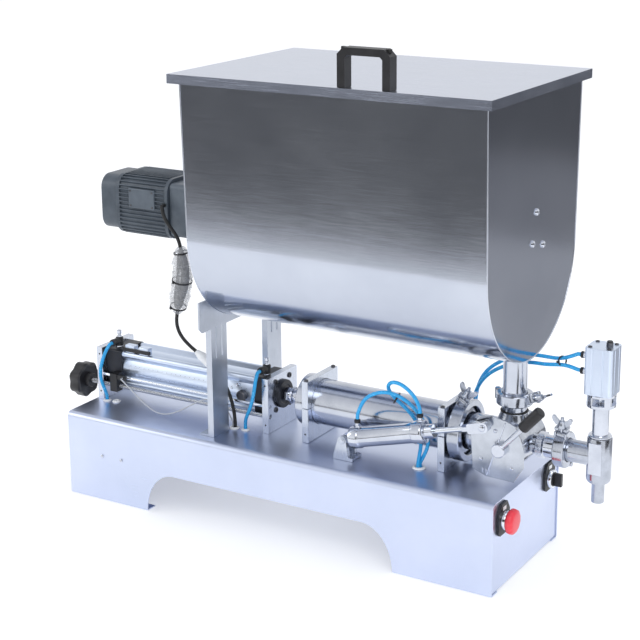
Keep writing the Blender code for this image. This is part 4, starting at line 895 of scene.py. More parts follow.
# ---------------------------------------------------------------- material cylinder and clamps
def support(name, span, node):
    half, joint = 0.048, 0.0004
    for label, low, high in (("lower", DECK, LINE_Z - joint), ("upper", LINE_Z + joint, 0.256)):
        outline = [(-half, low if label == "lower" else high)]
        if label == "lower":
            outline = [(-half, low), (half, low), (half, high)]
            outline += arc((0, LINE_Z), 0.0383, 0, -180, 72)
            outline += [(-half, high)]
            outline = [(y, min(z, high)) for y, z in outline]
        else:
            outline = [(half, high), (-half, high), (-half, low)]
            outline += arc((0, LINE_Z), 0.0383, 180, 0, 72)
            outline += [(half, low)]
            outline = [(y, max(z, low)) for y, z in outline]
        bm = shape()
        sweep(bm, outline, "X", span[0], span[1])
        piece(f"{name}_{label}_block", bm, "plate", "machine", (f"{node}_{label}",), 0.0006)


def wing_bolt(name, hinge, eye, axis):
    """A sanitary clamp's swing bolt: hinge eye, plain stem and wing nut.

    hinge is the pivot's place, eye the direction of the bolt, axis the pivot's direction.
    """
    eye, axis = Vector(eye).normalized(), Vector(axis).normalized()
    third = eye.cross(axis)
    place = Matrix.Translation(hinge) @ Matrix((axis, third, eye)).transposed().to_4x4()
    bm = shape()
    lathe(bm, [(0, -0.0065), (0.0046, -0.0065), (0.0052, -0.0058), (0.0052, 0.0058), (0.0046, 0.0065),
               (0, 0.0065)],
          "X", (0, 0, 0), 32, place)
    rod(bm, 0.0026, 0.0, 0.0290, "Z", (0, 0, 0), 28, place)
    lathe(bm, [(0.0027, 0.0125), (0.0072, 0.0125), (0.0074, 0.0140), (0.0056, 0.0185), (0.0048, 0.0225),
               (0.0027, 0.0235)],
          "Z", (0, 0, 0), 32, place)
    for hand in (-1, 1):
        shape_points = []
        for px, pz in ((0.004, 0.0140), (0.0105, 0.0165), (0.0150, 0.0215), (0.0165, 0.0270),
                       (0.0150, 0.0300),
                       (0.0115, 0.0295), (0.0085, 0.0260), (0.0040, 0.0222)):
            shape_points.append((px * hand, pz))
        sweep(bm, shape_points, "Y", -0.0017, 0.0017, place)
    piece(name, bm, "cast", "machine", (), 0.0007)


def clamp_pair(name, node, axis, centre, inner, groove, outer, half, bolt):
    """A clamp ring with a V groove, its ears, the swing bolt, and the hinge pin opposite."""
    lip = 0.0055
    bm = shape()
    profile = [
        (outer - 0.0012, -half), (outer, -half + 0.0016), (outer, half - 0.0016), (outer - 0.0012, half),
        (inner + 0.001, half), (inner, half - 0.001), (inner, half - 0.002),
        (groove, lip), (groove, -lip), (inner, 0.002 - half), (inner, 0.001 - half), (inner + 0.001, -half),
    ]
    lathe(bm, profile, axis, centre, 96)
    piece(f"{name}_ring", bm, "cast", "machine", (node,), 0.0004)
    hinge, eye, pivot = bolt
    ears = shape()
    eye_v, pivot_v = Vector(eye).normalized(), Vector(pivot).normalized()
    third = eye_v.cross(pivot_v)
    place = Matrix.Translation(hinge) @ Matrix((pivot_v, third, eye_v)).transposed().to_4x4()
    for hand in (-1, 1):
        block(ears, (hand * 0.0085 - 0.0018, -0.0060, -0.0050), (hand * 0.0085 + 0.0018, 0.0100, 0.0050),
              place)
        block(ears, (hand * 0.0072 - 0.0030, -0.0050, 0.0070), (hand * 0.0072 + 0.0030, 0.0100, 0.0122),
              place)
    piece(f"{name}_ears", ears, "cast", "machine", (), 0.0010)
    wing_bolt(f"{name}_wing_bolt", hinge, eye, pivot)
    pin = shape()
    opposite = Vector(centre) * 2 - Vector(hinge)
    if axis == "X":
        opposite.x = hinge[0]
    else:
        opposite.z = centre[2]
    spot, reach = tuple(opposite), half * 0.8
    rod(pin, 0.0045, -reach, reach, axis, spot, 24)
    hexagon(pin, 0.0080, reach, reach + 0.003, axis, spot)
    piece(f"{name}_hinge", pin, "cast", "machine", (), 0.0005)


def make_material_cylinder():
    support("rear", (0.0250, 0.0370), "rear_clamp")
    support("front", (0.2740, 0.2860), "front_clamp")
    bm = shape()
    outer = 0.038
    profile = [
        (0.0425, 0.0080), (0.0435, 0.0090), (0.0435, 0.0236), (0.0425, 0.0246), (outer, 0.0246),
        (outer, 0.2950),
        (0.0440, 0.2970), (0.0440, 0.3000), (0.0350, 0.3000), (0.0350, 0.0080),
    ]
    lathe(bm, profile, "X", (0, 0, LINE_Z), 128)
    piece("material_tube", bm, "pipe", "machine", ("material_cylinder",), 0.0003)

    start = -0.0047
    bm = shape()
    profile = [
        (0, start), (0.0100, start), (0.0100, 0.044), (0.0347, 0.044), (0.0347, 0.053), (0.0314, 0.053),
        (0.0314, 0.061), (0.0347, 0.061), (0.0347, 0.072), (0, 0.072),
    ]
    lathe(bm, profile, "X", (0, 0, LINE_Z), 96)
    piece("material_head", bm, "pipe", "piston", ("material_piston",), 0.0003)
    bm = shape()
    lathe(bm, [(0.0317, 0.0533), (0.0345, 0.0533), (0.0349, 0.0545), (0.0349, 0.0595), (0.0345, 0.0607),
               (0.0317, 0.0607)],
          "X", (0, 0, LINE_Z), 96)
    piece("seal_ring", bm, "rubber", "piston", ("piston_seal",), 0)

    clamp_pair("cylinder", "cylinder_clamp", "X", (0.3000, 0, LINE_Z), 0.0387, 0.0450, 0.0500, 0.0105,
               ((0.3000, -0.012, 0.2600), (0.45, -0.15, 0.88), (0.88, 0, -0.45)))
    clamp_pair("hopper_joint", "hopper_clamp", "Z", (VALVE_X, 0, 0.2771), 0.0196, 0.0245, 0.0285, 0.009,
               ((0.4130, -0.0040, 0.2800), (0.86, -0.30, 0.42), (0.35, 0.93, 0)))
    clamp_pair("outlet", "outlet_clamp", "X", (0.4655, 0, LINE_Z), 0.0182, 0.0245, 0.0285, 0.009,
               ((0.4655, -0.0110, 0.2360), (0.08, -0.12, 0.99), (0.99, 0, -0.08)))


# ---------------------------------------------------------------- valve, crank and actuator
def make_valve():
    centre = (VALVE_X, 0, LINE_Z)
    bm = shape()
    lathe(bm, [(0, 0.042), (0.0345, 0.042), (0.0370, 0.0400), (0.0370, -0.0400), (0.0345, -0.042),
               (0.0258, -0.042),
               (0.0258, 0.036), (0, 0.036)], "Y", centre, 112)
    lathe(bm, [(0.0170, 0.3003), (0.0440, 0.3003), (0.0440, 0.3033), (0.0300, 0.3063),
               (0.0300, VALVE_X - 0.020),
               (0.0170, VALVE_X - 0.020)], "X", (0, 0, LINE_Z), 96)
    lathe(bm, [(0.0140, LINE_Z + 0.024), (0.0260, LINE_Z + 0.024), (0.0245, 0.2470), (0.0215, 0.2540),
               (0.0215, 0.2556),
               (0.0190, 0.2560), (0.0190, 0.2708), (0.0240, 0.2738), (0.0240, 0.2768), (0.0140, 0.2768)],
          "Z", (VALVE_X, 0, 0), 96)
    lathe(bm, [(0.0120, VALVE_X + 0.020), (0.0175, VALVE_X + 0.020), (0.0170, 0.4160), (0.0150, 0.4170),
               (0.0150, 0.4250),
               (0.0120, 0.4250)], "X", (0, 0, LINE_Z), 80)
    piece("valve_block", bm, "cast", "machine", ("valve_body",), 0.0003)
    bm = shape()
    lathe(bm, [(0.0194, 0.2562), (0.0219, 0.2562), (0.0219, 0.2572), (0.0194, 0.2572)], "Z",
          (VALVE_X, 0, 0), 80)
    piece("boss_gasket", bm, "rubber", "machine", (), 0)
    bm = shape()
    lathe(bm, [(0.0145, 0.27685), (0.0238, 0.27685), (0.0238, 0.27705), (0.0145, 0.27705)], "Z",
          (VALVE_X, 0, 0), 64)
    piece("hopper_gasket", bm, "white", "machine", (), 0)

    bm = shape()
    lathe(bm, [(0, 0.0355), (0.0257, 0.0355), (0.0257, -0.0423), (0.0372, -0.0423), (0.0380, -0.0431),
               (0.0380, -0.0450),
               (0.0372, -0.0458), (0.0080, -0.0458), (0.0080, -0.0467), (0, -0.0467)], "Y", centre, 96)
    piece("rotor_cover", bm, "cast", "valve", ("valve_rotor",), 0.0002)
    bm = shape()
    for step in range(4):
        turn = math.radians(45 + 90 * step)
        socket_screw(bm, 0.0036, 0.0418, 0.0024, "Y",
                     (VALVE_X + 0.030 * math.cos(turn), 0, LINE_Z + 0.030 * math.sin(turn)))
    piece("valve_back_screws", bm, "polished", "machine", (), 0)


def make_crank():
    right_side = [
        (0.0085, 0.0460), (0.0245, 0.0400), (0.0340, 0.0220), (0.0385, 0.0050),
        (0.0390, -0.0240), (0.0235, -0.0500), (-0.0230, -0.0490),
    ]
    left_side = [(-0.0440, -0.0380), (-0.0465, 0.0320), (-0.0305, 0.0510), (-0.0125, 0.0530)]
    fold_top, fold_foot = Vector(right_side[0]), Vector(right_side[-1])
    fold = (fold_foot - fold_top).normalized()
    slope = math.tan(math.radians(12))

    def left_of_fold(point):
        return fold.x * (point.y - fold_top.y) - fold.y * (point.x - fold_top.x)

    outline = [Vector(point) for point in right_side + left_side]
    sign = -1 if left_of_fold(Vector(left_side[1])) < 0 else 1

    def lean(point):
        return max(0, sign * left_of_fold(point)) * slope

    def place_point(point, depth):
        return Vector((VALVE_X + point.x, -0.0470 - depth - lean(point), LINE_Z + point.y))

    bm = shape()
    back = [bm.verts.new(place_point(point, 0)) for point in outline]
    front = [bm.verts.new(place_point(point, 0.003)) for point in outline]
    right = len(right_side)
    for side in (back, front):
        bm.faces.new(side[:right])
        bm.faces.new([side[right - 1]] + side[right:] + [side[0]])
    for step in range(len(outline)):
        after = (step + 1) % len(outline)
        bm.faces.new((back[step], front[step], front[after], back[after]))
    piece("crank_sheet", bm, "facet", "valve", ("crank_plate",), 0.0007, angle=8)
    bm = shape()
    foot, head = place_point(fold_foot, 0.0031), place_point(fold_top, 0.0031)
    tube_mesh(bm, [foot.lerp(head, 0.03), foot.lerp(head, 0.97)], 0.0011, 12)
    piece("crank_fold", bm, "polished", "valve", (), 0)

    bm = shape()
    lathe(bm, [(0, -0.0612), (0.0098, -0.0612), (0.0110, -0.0600), (0.0110, -0.0475), (0, -0.0475)], "Y",
          (VALVE_X, 0, LINE_Z), 64)
    lathe(bm, [(0, -0.0609), (0.0064, -0.0609), (0.0070, -0.0603), (0.0070, -0.0530), (0, -0.0530)], "Y",
          (CRANK_PIN[0], 0, CRANK_PIN[1]), 48)
    turn = Matrix.Translation((VALVE_X, -0.0570, LINE_Z)) @ Matrix.Rotation(-math.radians(48), 4, "Y")
    rod(bm, 0.0038, 0.004, 0.094, "X", (0, 0, 0), 40, turn)
    piece("crank_hub", bm, "polished", "valve", (), 0.0003)
    bm = shape()
    for x, z in ((-0.008, 0.029), (0.0196, -0.028), (-0.031, -0.020)):
        depth = -0.0500 - lean(Vector((x, z)))
        tip = Matrix.Translation((VALVE_X + x, depth, LINE_Z + z))
        if lean(Vector((x, z))):
            tip = tip @ Matrix.Rotation(math.radians(-8), 4, "Z")
        lathe(bm, [(0, -0.0018), (0.0016, -0.0017), (0.0030, -0.0010), (0.0034, 0.0004), (0, 0.0004)], "Y",
              (0, 0, 0), 28, tip)
    for step in range(3):
        x, z = -0.0290 + 0.0052 * step, -0.0385 - 0.0012 * step
        depth = -0.0500 - lean(Vector((x, z)))
        block(bm, (VALVE_X + x, depth - 0.0006, LINE_Z + z - 0.004),
              (VALVE_X + x + 0.0022, depth + 0.001, LINE_Z + z + 0.004))
    piece("crank_bolts", bm, "polished", "valve", (), 0.0003)

    grip = shape()
    profile = [
        (0.0042, 0.058), (0.0078, 0.058), (0.0086, 0.0588), (0.0090, 0.0605), (0.0090, 0.0985),
        (0.0086, 0.1004), (0.0074, 0.1016), (0, 0.1020), (0, 0.0945), (0.0042, 0.0945),
    ]
    lathe(grip, profile, "X", (0, 0, 0), 56, turn)
    piece("grip", grip, "black", "valve", ("lever_grip",), 0.0002)


def make_actuator():
    tilt = Matrix.Translation((FOOT_PIN[0], ACTUATOR_Y, FOOT_PIN[1])) @ Matrix.Rotation(-TILT, 4, "Y")
    bm = shape()
    profile = [
        (0, 0.0120), (0.0160, 0.0120), (0.0178, 0.0138), (0.0180, 0.0150), (0.0180, 0.0280), (0.0172, 0.0295),
        (0.0168, 0.0298), (0.0164, 0.0305), (0.0164, 0.1280), (0.0170, 0.1284), (0.0185, 0.1296),
        (0.0185, 0.1450),
        (0.0176, 0.1470), (0.0160, 0.1480), (0.0115, 0.1484), (0.0115, 0.1630), (0.0105, 0.1640),
        (0.0048, 0.1640),
        (0.0048, 0.1500), (0, 0.1500),
    ]
    lathe(bm, profile, "X", (0, 0, 0), 96, tilt)
    tongue = [(0.0200, -0.0070), (0.0200, 0.0070)] + arc((0, 0), 0.0075, 90, 270, 20)
    sweep(bm, tongue, "Y", -0.0065, 0.0065, tilt)
    piece("actuator_body", bm, "polished", "actuator_housing", ("actuator_barrel",), 0.0003)

    bm = shape()
    for along in (0.0215, 0.1375):
        x = FOOT_PIN[0] + along * math.cos(TILT)
        z = FOOT_PIN[1] + along * math.sin(TILT)
        hexagon(bm, 0.0100, z + 0.0155, z + 0.0205, "Z", (x, ACTUATOR_Y, 0))
        rod(bm, 0.0040, z + 0.012, z + 0.0250, "Z", (x, ACTUATOR_Y, 0), 32)
    piece("actuator_ports", bm, "polished", "actuator_housing", (), 0.0003)
    bm = shape()
    for along in (0.0215, 0.1375):
        x = FOOT_PIN[0] + along * math.cos(TILT)
        z = FOOT_PIN[1] + along * math.sin(TILT)
        collar(bm, (x, ACTUATOR_Y, z + 0.0240), (x, ACTUATOR_Y, z + 0.0302), 0.0050)
    piece("actuator_collars", bm, "black", "actuator_housing", (), 0.0002)

    bm = shape()
    lathe(bm, [(0, 0.0400), (0.0137, 0.0400), (0.0137, 0.0480), (0.0045, 0.0480), (0.0045, 0.2260),
               (0, 0.2260)],
          "X", (0, 0, 0), 48, tilt)
    piece("actuator_bar", bm, "chrome", "actuator_piston", ("actuator_rod",), 0.0002)
    reach = math.hypot(CRANK_PIN[0] - FOOT_PIN[0], CRANK_PIN[1] - FOOT_PIN[1])
    bm = shape()
    outline = [(reach - 0.0240, -0.0080), (reach - 0.0060, -0.0080)] + arc((reach + 0.0010, 0), 0.0085, -90,
                                                                           90, 18)
    outline += [(reach - 0.0240, 0.0080), (reach - 0.0260, 0.0060), (reach - 0.0260, -0.0060)]
    sweep(bm, outline, "Y", -0.0070, 0.0066, tilt)
    rod(bm, 0.0068, reach - 0.0360, reach - 0.0255, "X", (0, 0, 0), 6, tilt, soft=0.0003)
    lathe(bm, [(0, -0.0096), (0.0034, -0.0095), (0.0050, -0.0086), (0.0055, -0.0070), (0, -0.0068)], "Y",
          (reach, 0, 0), 32, tilt)
    piece("actuator_fork", bm, "polished", "actuator_piston", (), 0.0008)

    bm = shape()
    front, back = ACTUATOR_Y - 0.015, ACTUATOR_Y + 0.015
    x, z = FOOT_PIN
    cheek = [(x - 0.0155, DECK), (x + 0.0198, DECK), (x + 0.0198, DECK + 0.0057), (x + 0.0120, DECK + 0.0060)]
    cheek += arc((x, z), 0.0075, 10, 170, 16)
    cheek += [(x - 0.0155, DECK + 0.0070)]
    for low, high in ((front, ACTUATOR_Y - 0.0078), (ACTUATOR_Y + 0.0078, back)):
        sweep(bm, cheek, "Y", low, high)
    block(bm, (x - 0.0155, ACTUATOR_Y - 0.0080, DECK), (x + 0.0198, ACTUATOR_Y + 0.0080, DECK + 0.0058))
    rod(bm, 0.0040, front - 0.002, back + 0.002, "Y", (x, 0, z), 36)
    rod(bm, 0.0058, front - 0.0012, front, "Y", (x, 0, z), 36)
    piece("actuator_mount", bm, "plate", "machine", ("actuator_foot",), 0.0007)


# ---------------------------------------------------------------- outlet and nozzle
def make_outlet():
    start, end = 0.4253, 0.4655
    bm = shape()
    profile = [(0.0145, start), (0.0190, start)]
    for step in range(5):
        x = start + 0.0009 + 0.0023 * step
        profile += [(0.0198, x), (0.0206, x + 0.0006), (0.0198, x + 0.0012)]
    profile += [
        (0.0180, start + 0.0122), (0.0175, start + 0.0128), (0.0175, end - 0.006), (0.0240, end - 0.003),
        (0.0240, end), (0.0145, end),
    ]
    lathe(bm, profile, "X", (0, 0, LINE_Z), 96)
    piece("outlet_spool", bm, "polished", "machine", ("outlet_pipe",), 0.0001)

    x = NOZZLE_X
    bm = shape()
    profile = [
        (0.0078, 0.1346), (0.0092, 0.1346), (0.0099, 0.1354), (0.0099, 0.1655), (0.0102, 0.1668),
        (0.0120, 0.1676),
        (0.0160, 0.1680), (0.0184, 0.1712), (0.0190, 0.1745), (0.0190, 0.2385), (0.0182, 0.2400),
        (0.0120, 0.2402),
        (0.0120, 0.1740), (0.0088, 0.1700), (0.0088, 0.1510), (0.0078, 0.1500),
    ]
    lathe(bm, profile, "Z", (x, 0, 0), 96)
    start = 0.4658
    lathe(bm, [(0.0145, start), (0.0240, start), (0.0240, start + 0.003), (0.0175, start + 0.006),
               (0.0175, x - 0.010),
               (0.0145, x - 0.010)], "X", (0, 0, LINE_Z), 88)
    piece("nozzle_tee", bm, "cast", "machine", ("nozzle_body",), 0.0003)
    bm = shape()
    for sign in (-1, 1):
        block(bm, (x - 0.0105, sign * 0.0181 - 0.0012, 0.1840), (x + 0.0105, sign * 0.0181 + 0.0012, 0.2340))
    piece("nozzle_flats", bm, "polished", "machine", (), 0.0006)

    stem = shape()
    profile = [
        (0.0056, 0.2405), (0.0172, 0.2405), (0.0180, 0.2412), (0.0180, 0.2425), (0.0165, 0.2440),
        (0.0127, 0.2446),
        (0.0127, 0.2872), (0.0150, 0.2884), (0.0218, 0.2890), (0.0225, 0.2900), (0.0225, 0.3090),
        (0.0220, 0.3097),
        (0.0056, 0.3097),
    ]
    lathe(stem, profile, "Z", (x, 0, 0), 96)
    slots = []
    for low, high in (((x - 0.03, -0.012, 0.2940), (x + 0.03, 0.012, 0.3060)),
                      ((x - 0.012, -0.03, 0.2940), (x + 0.012, 0.03, 0.3060))):
        tool = shape()
        block(tool, low, high)
        slots.append(tool)
    piece("nozzle_yoke", cut_mesh(stem, slots), "polished", "machine", ("nozzle_stem",), 0.0004)

    outline = []
    for px, py in rounded_square(0.0220, 0.0070, 10):
        outline.append((x + px, py))
    body = shape()
    sweep(body, outline, "Z", 0.3100, 0.3830)
    tools = []
    bore = shape()
    lathe(bore, [(0, 0.30), (0.016, 0.30), (0.016, 0.375), (0, 0.375)], "Z", (x, 0, 0), 72)
    tools.append(bore)
    grooves = shape()
    for sign in (-1, 1):
        for offset in (-0.0085, 0.0085):
            block(grooves, (x + offset - 0.0012, sign * 0.0225 - 0.0012, 0.312),
                  (x + offset + 0.0012, sign * 0.0225 + 0.0012, 0.381))
            block(grooves, (x + sign * 0.0225 - 0.0012, offset - 0.0012, 0.312),
                  (x + sign * 0.0225 + 0.0012, offset + 0.0012, 0.381))
    tools.append(grooves)
    piece("nozzle_actuator", cut_mesh(body, tools), "anodised", "machine", ("nozzle_cylinder",), 0.0005)
    bm = shape()
    for sx in (-1, 1):
        for sy in (-1, 1):
            socket_screw(bm, 0.0032, 0.3828, 0.0016, "Z", (x + sx * 0.0150, sy * 0.0150, 0))
    rod(bm, 0.0052, 0.3828, 0.3895, "Z", (x + 0.010, 0, 0), 6)
    piece("nozzle_actuator_screws", bm, "dark_metal", "machine", (), 0)
    bm = shape()
    for z in (0.3640, 0.3390):
        hexagon(bm, 0.0110, x - 0.0255, x - 0.0218, "X", (0, 0, z))
        rod(bm, 0.0046, x - 0.0300, x - 0.0250, "X", (0, 0, z), 32)
    piece("nozzle_ports", bm, "polished", "machine", (), 0.0003)
    bm = shape()
    rod(bm, 0.0044, 0.3890, 0.3920, "Z", (x + 0.010, 0, 0), 28)
    for z in (0.3640, 0.3390):
        collar(bm, (x - 0.0295, 0, z), (x - 0.0345, 0, z), 0.0052)
    piece("nozzle_collars", bm, "black", "machine", (), 0.0002)

    bm = shape()
    profile = [
        (0, 0.1410), (0.0068, 0.1410), (0.0074, 0.1425), (0.0074, 0.1490), (0.0050, 0.1520), (0.0050, 0.3180),
        (0.0154, 0.3180), (0.0154, 0.3270), (0, 0.3270),
    ]
    lathe(bm, profile, "Z", (x, 0, 0), 64)
    piece("plunger", bm, "chrome", "nozzle_valve", ("nozzle_plunger",), 0.0003)
    bm = shape()
    hexagon(bm, 0.0165, 0.2965, 0.3015, "Z", (x, 0, 0))
    piece("plunger_nut", bm, "polished", "nozzle_valve", (), 0.0004)


# ---------------------------------------------------------------- hopper, lid and stand
def hopper_outline(inset, top):
    radius, half = 0.1615 - inset, 0.169 - inset
    points = [(half, top)]
    points += arc((0, 0.5046), radius, 0, -180, 120)
    points.append((-half, top))
    return points


def make_hopper():
    left, right, top = -0.1127, 0.4076, 0.7627
    solid = shape()
    sweep(solid, hopper_outline(0, top), "X", left, right)
    inside = shape()
    sweep(inside, hopper_outline(0.002, top + 0.02), "X", left + 0.002, right - 0.002)
    drain = shape()
    lathe(drain, [(0, 0.30), (0.0170, 0.30), (0.0170, 0.36), (0, 0.36)], "Z", (VALVE_X, 0, 0), 72)
    hole = shape()
    lathe(hole, [(0, left - 0.01), (0.011, left - 0.01), (0.011, left + 0.01), (0, left + 0.01)], "X",
          (0, 0, MIXER_Z), 48)
    trough = cut_mesh(solid, [inside, drain, hole])
    piece("hopper_trough", trough, "hopper", "machine", ("hopper_shell",), 0.0007, angle=30)
    bm = shape()
    lathe(bm, [(0.0170, 0.2771), (0.0240, 0.2771), (0.0240, 0.2801), (0.0190, 0.2831), (0.0190, 0.3400),
               (0.0200, 0.3432), (0.0205, 0.3445), (0.0170, 0.3445)], "Z", (VALVE_X, 0, 0), 96)
    piece("hopper_pipe", bm, "pipe", "machine", (), 0.0002)
    bm = shape()
    low, high = right - 0.022, right - 0.0015
    lathe(bm, [(0.0094, low), (0.0180, low), (0.0180, high), (0.0094, high)], "X", (0, 0, MIXER_Z), 56)
    piece("bearing_bush", bm, "white", "machine", (), 0.0004)
    bm = shape()
    for y, z in ((0.006, 0.5716), (-0.0065, 0.525), (0.032, 0.5165)):
        lathe(bm, [(0, right + 0.0042), (0.0030, right + 0.0038), (0.0050, right + 0.0022), (0.0056, right),
                   (0, right)],
              "X", (0, y, z), 32)
    piece("bearing_bolts", bm, "polished", "machine", (), 0)
    seam = shape()
    for x in (left + 0.0002, right - 0.0002):
        route = [Vector((x, y, z)) for y, z in hopper_outline(0.0004, 0.750)]
        tube_mesh(seam, route, 0.0011, 10)
    piece("weld_seams", seam, "polished", "machine", (), 0, angle=60)

    for name, material in (("hopper_lid", "lid"), ("lid_handle", "black"), ("hopper_stand", "leg")):
        soften(name, material, 0.0020 if name == "lid_handle" else 0.0007)
    bm = shape()
    for x in (0.1792, 0.2534):
        rod(bm, 0.0042, 0.8185, 0.8236, "Z", (x, -0.1685, 0), 24)
    piece("handle_plugs", bm, "rubber", "lid", (), 0)
    bm = shape()
    back = -0.1160
    for near, far in ((-0.103, -0.059), (0.063, 0.107)):
        middle = (near + far) / 2
        profile = [(0, DECK + 0.0062), (0.0026, DECK + 0.0059), (0.0044, DECK + 0.0046),
                   (0.0048, DECK + 0.0030), (0, DECK + 0.0030)]
        lathe(bm, profile, "Z", (back - 0.0165, middle, 0), 32)
        for y in (middle - 0.0085, middle + 0.0085):
            lathe(bm, [(0, back - 0.0036), (0.0052, back - 0.0032), (0.0055, back - 0.0002),
                       (0, back - 0.0002)],
                  "X", (0, y, 0.3560), 6)
    piece("stand_screws", bm, "polished", "machine", (), 0.0003)


def soften(node, material, width):
    """A CAD node shown as it is, with its finish and slightly soft edges."""
    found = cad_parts[node]
    found.data.materials.clear()
    found.data.materials.append(M[material])
    if width:
        soft = found.modifiers.new("Soft edges", "BEVEL")
        soft.width = width
        soft.segments = 3
        soft.limit_method = "ANGLE"
        soft.angle_limit = math.radians(38)


# ---------------------------------------------------------------- mixer
def finned_outline(half, corner, depth, count):
    """A rounded square with ribs along its sides."""
    base = rounded_square(half, corner, 24, (0, 0))
    base.append(base[0])
    lengths = [0.0]
    for one, two in zip(base, base[1:]):
        lengths.append(lengths[-1] + math.dist(one, two))
    points = []
    steps = count * 8
    index = 0
    for step in range(steps):
        target = lengths[-1] * step / steps
        while lengths[index + 1] < target:
            index += 1
        share = (target - lengths[index]) / max(1e-9, lengths[index + 1] - lengths[index])
        y = base[index][0] + (base[index + 1][0] - base[index][0]) * share
        z = base[index][1] + (base[index + 1][1] - base[index][1]) * share
        phase = (step % 8)
        scale = 1 if phase in (0, 1, 2) else 1 - depth / math.hypot(y, z)
        points.append((y * scale, MIXER_Z + z * scale))
    return points


def make_mixer():
    left, right = -0.2317, -0.1650
    bm = shape()
    sweep(bm, finned_outline(0.052, 0.024, 0.0034, 52), "X", -0.3340, left - 0.0063)
    for low, high in ((-0.3400, -0.3330), (left - 0.0073, left - 0.0003)):
        sweep(bm, rounded_square(0.0515, 0.0235, 12, (0, MIXER_Z)), "X", low, high)
    piece("motor_ribs", bm, "motor", "machine", ("mixer_motor",), 0.0004)
    bm = shape()
    sweep(bm, [(-0.3120, MIXER_Z - 0.002), (-0.2580, MIXER_Z - 0.002), (-0.2580, MIXER_Z + 0.032),
               (-0.3120, MIXER_Z + 0.032)],
          "Y", -0.0535, -0.045)
    piece("terminal_cover", bm, "motor_light", "machine", (), 0.0016)
    bm = shape()
    for x in (-0.3075, -0.2625):
        for z in (MIXER_Z + 0.0025, MIXER_Z + 0.0275):
            socket_screw(bm, 0.0018, -0.0534, -0.0008, "Y", (x, 0, z))
    piece("terminal_screws", bm, "dark_metal", "machine", (), 0)

    bm = shape()
    outer = rounded_square(0.0470, 0.022, 12, (0, MIXER_Z))
    sweep(bm, outer, "X", -0.3745, -0.3403)
    tool = shape()
    sweep(tool, rounded_square(0.0450, 0.020, 12, (0, MIXER_Z)), "X", -0.3740, -0.3300)
    vents = shape()
    for row in range(7):
        z = MIXER_Z - 0.027 + 0.009 * row
        wide = 0.034 if abs(row - 3) < 3 else 0.026
        block(vents, (-0.380, -wide, z - 0.0022), (-0.372, wide, z + 0.0022))
    piece("fan_shroud", cut_mesh(bm, [tool, vents]), "motor", "machine", ("motor_fan_cover",), 0.0008)
    bm = shape()
    for step in range(9):
        place = Matrix.Translation((-0.3600, 0, MIXER_Z)) @ Matrix.Rotation(2 * math.pi * step / 9, 4, "X")
        block(bm, (-0.006, -0.0008, 0.008), (0.006, 0.0008, 0.036), place)
    rod(bm, 0.010, -0.367, -0.341, "X", (0, 0, MIXER_Z), 32)
    piece("motor_fan", bm, "black", "machine", (), 0.0003)

    bm = shape()
    sweep(bm, rounded_square(0.0455, 0.008, 8, (0, MIXER_Z)), "X", left, right)
    end = -0.1130
    lathe(bm, [(0.0120, right - 0.01), (0.0380, right - 0.01), (0.0380, right + 0.006),
               (0.0320, right + 0.007),
               (0.0320, end - 0.009), (0.0450, end - 0.008), (0.0450, end), (0.0120, end)], "X",
               (0, 0, MIXER_Z), 80)
    piece("gearbox_case", bm, "motor_light", "machine", ("mixer_gearbox",), 0.0012)
    bm = shape()
    for sy in (-1, 1):
        for sz in (-1, 1):
            socket_screw(bm, 0.0042, left + 0.0004, 0.0010, "X", (0, sy * 0.0372, MIXER_Z + sz * 0.0372))
            socket_screw(bm, 0.0042, right - 0.0004, 0.0040, "X", (0, sy * 0.0372, MIXER_Z + sz * 0.0372))
    for step in range(6):
        turn = math.radians(60 * step + 30)
        socket_screw(bm, 0.0032, end - 0.0078, -0.0032, "X",
                     (0, 0.0385 * math.cos(turn), MIXER_Z + 0.0385 * math.sin(turn)))
    piece("gearbox_screws", bm, "dark_metal", "machine", (), 0)

    bm = shape()
    rod(bm, 0.009, right - 0.010, 0.4026, "X", (0, 0, MIXER_Z), 56)
    for index in range(6):
        turn = Matrix.Translation((-0.0620 + 0.0800 * index, 0,
                                   MIXER_Z)) @ Matrix.Rotation(math.radians(60 * index), 4, "X")
        block(bm, (-0.005, -0.003, -0.133), (0.005, 0.003, 0.133), turn)
        lathe(bm, [(0.009, -0.011), (0.0135, -0.011), (0.0135, 0.011), (0.009, 0.011)], "X", (0, 0, 0), 40,
              turn)
        for side in (-1, 1):
            move = Matrix.Translation((0, 0, side * 0.125)) @ Matrix.Rotation(math.radians(40), 4, "Z")
            block(bm, (-0.033, -0.0025, -0.018), (0.033, 0.0025, 0.018), turn @ move)
    piece("mixer_paddles", bm, "pipe", "mixer", ("mixer_shaft",), 0.0006)


# ---------------------------------------------------------------- room and light
def area(name, place, aim, size, power, colour=(1, 1, 1)):
    data = bpy.data.lights.new(name, "AREA")
    data.shape = "RECTANGLE"
    data.size, data.size_y = size
    data.energy = power
    data.color = colour
    lamp = bpy.data.objects.new(name, data)
    bpy.context.scene.collection.objects.link(lamp)
    lamp.location = place
    lamp.rotation_euler = (Vector(place) - Vector(aim)).to_track_quat("Z", "Y").to_euler()


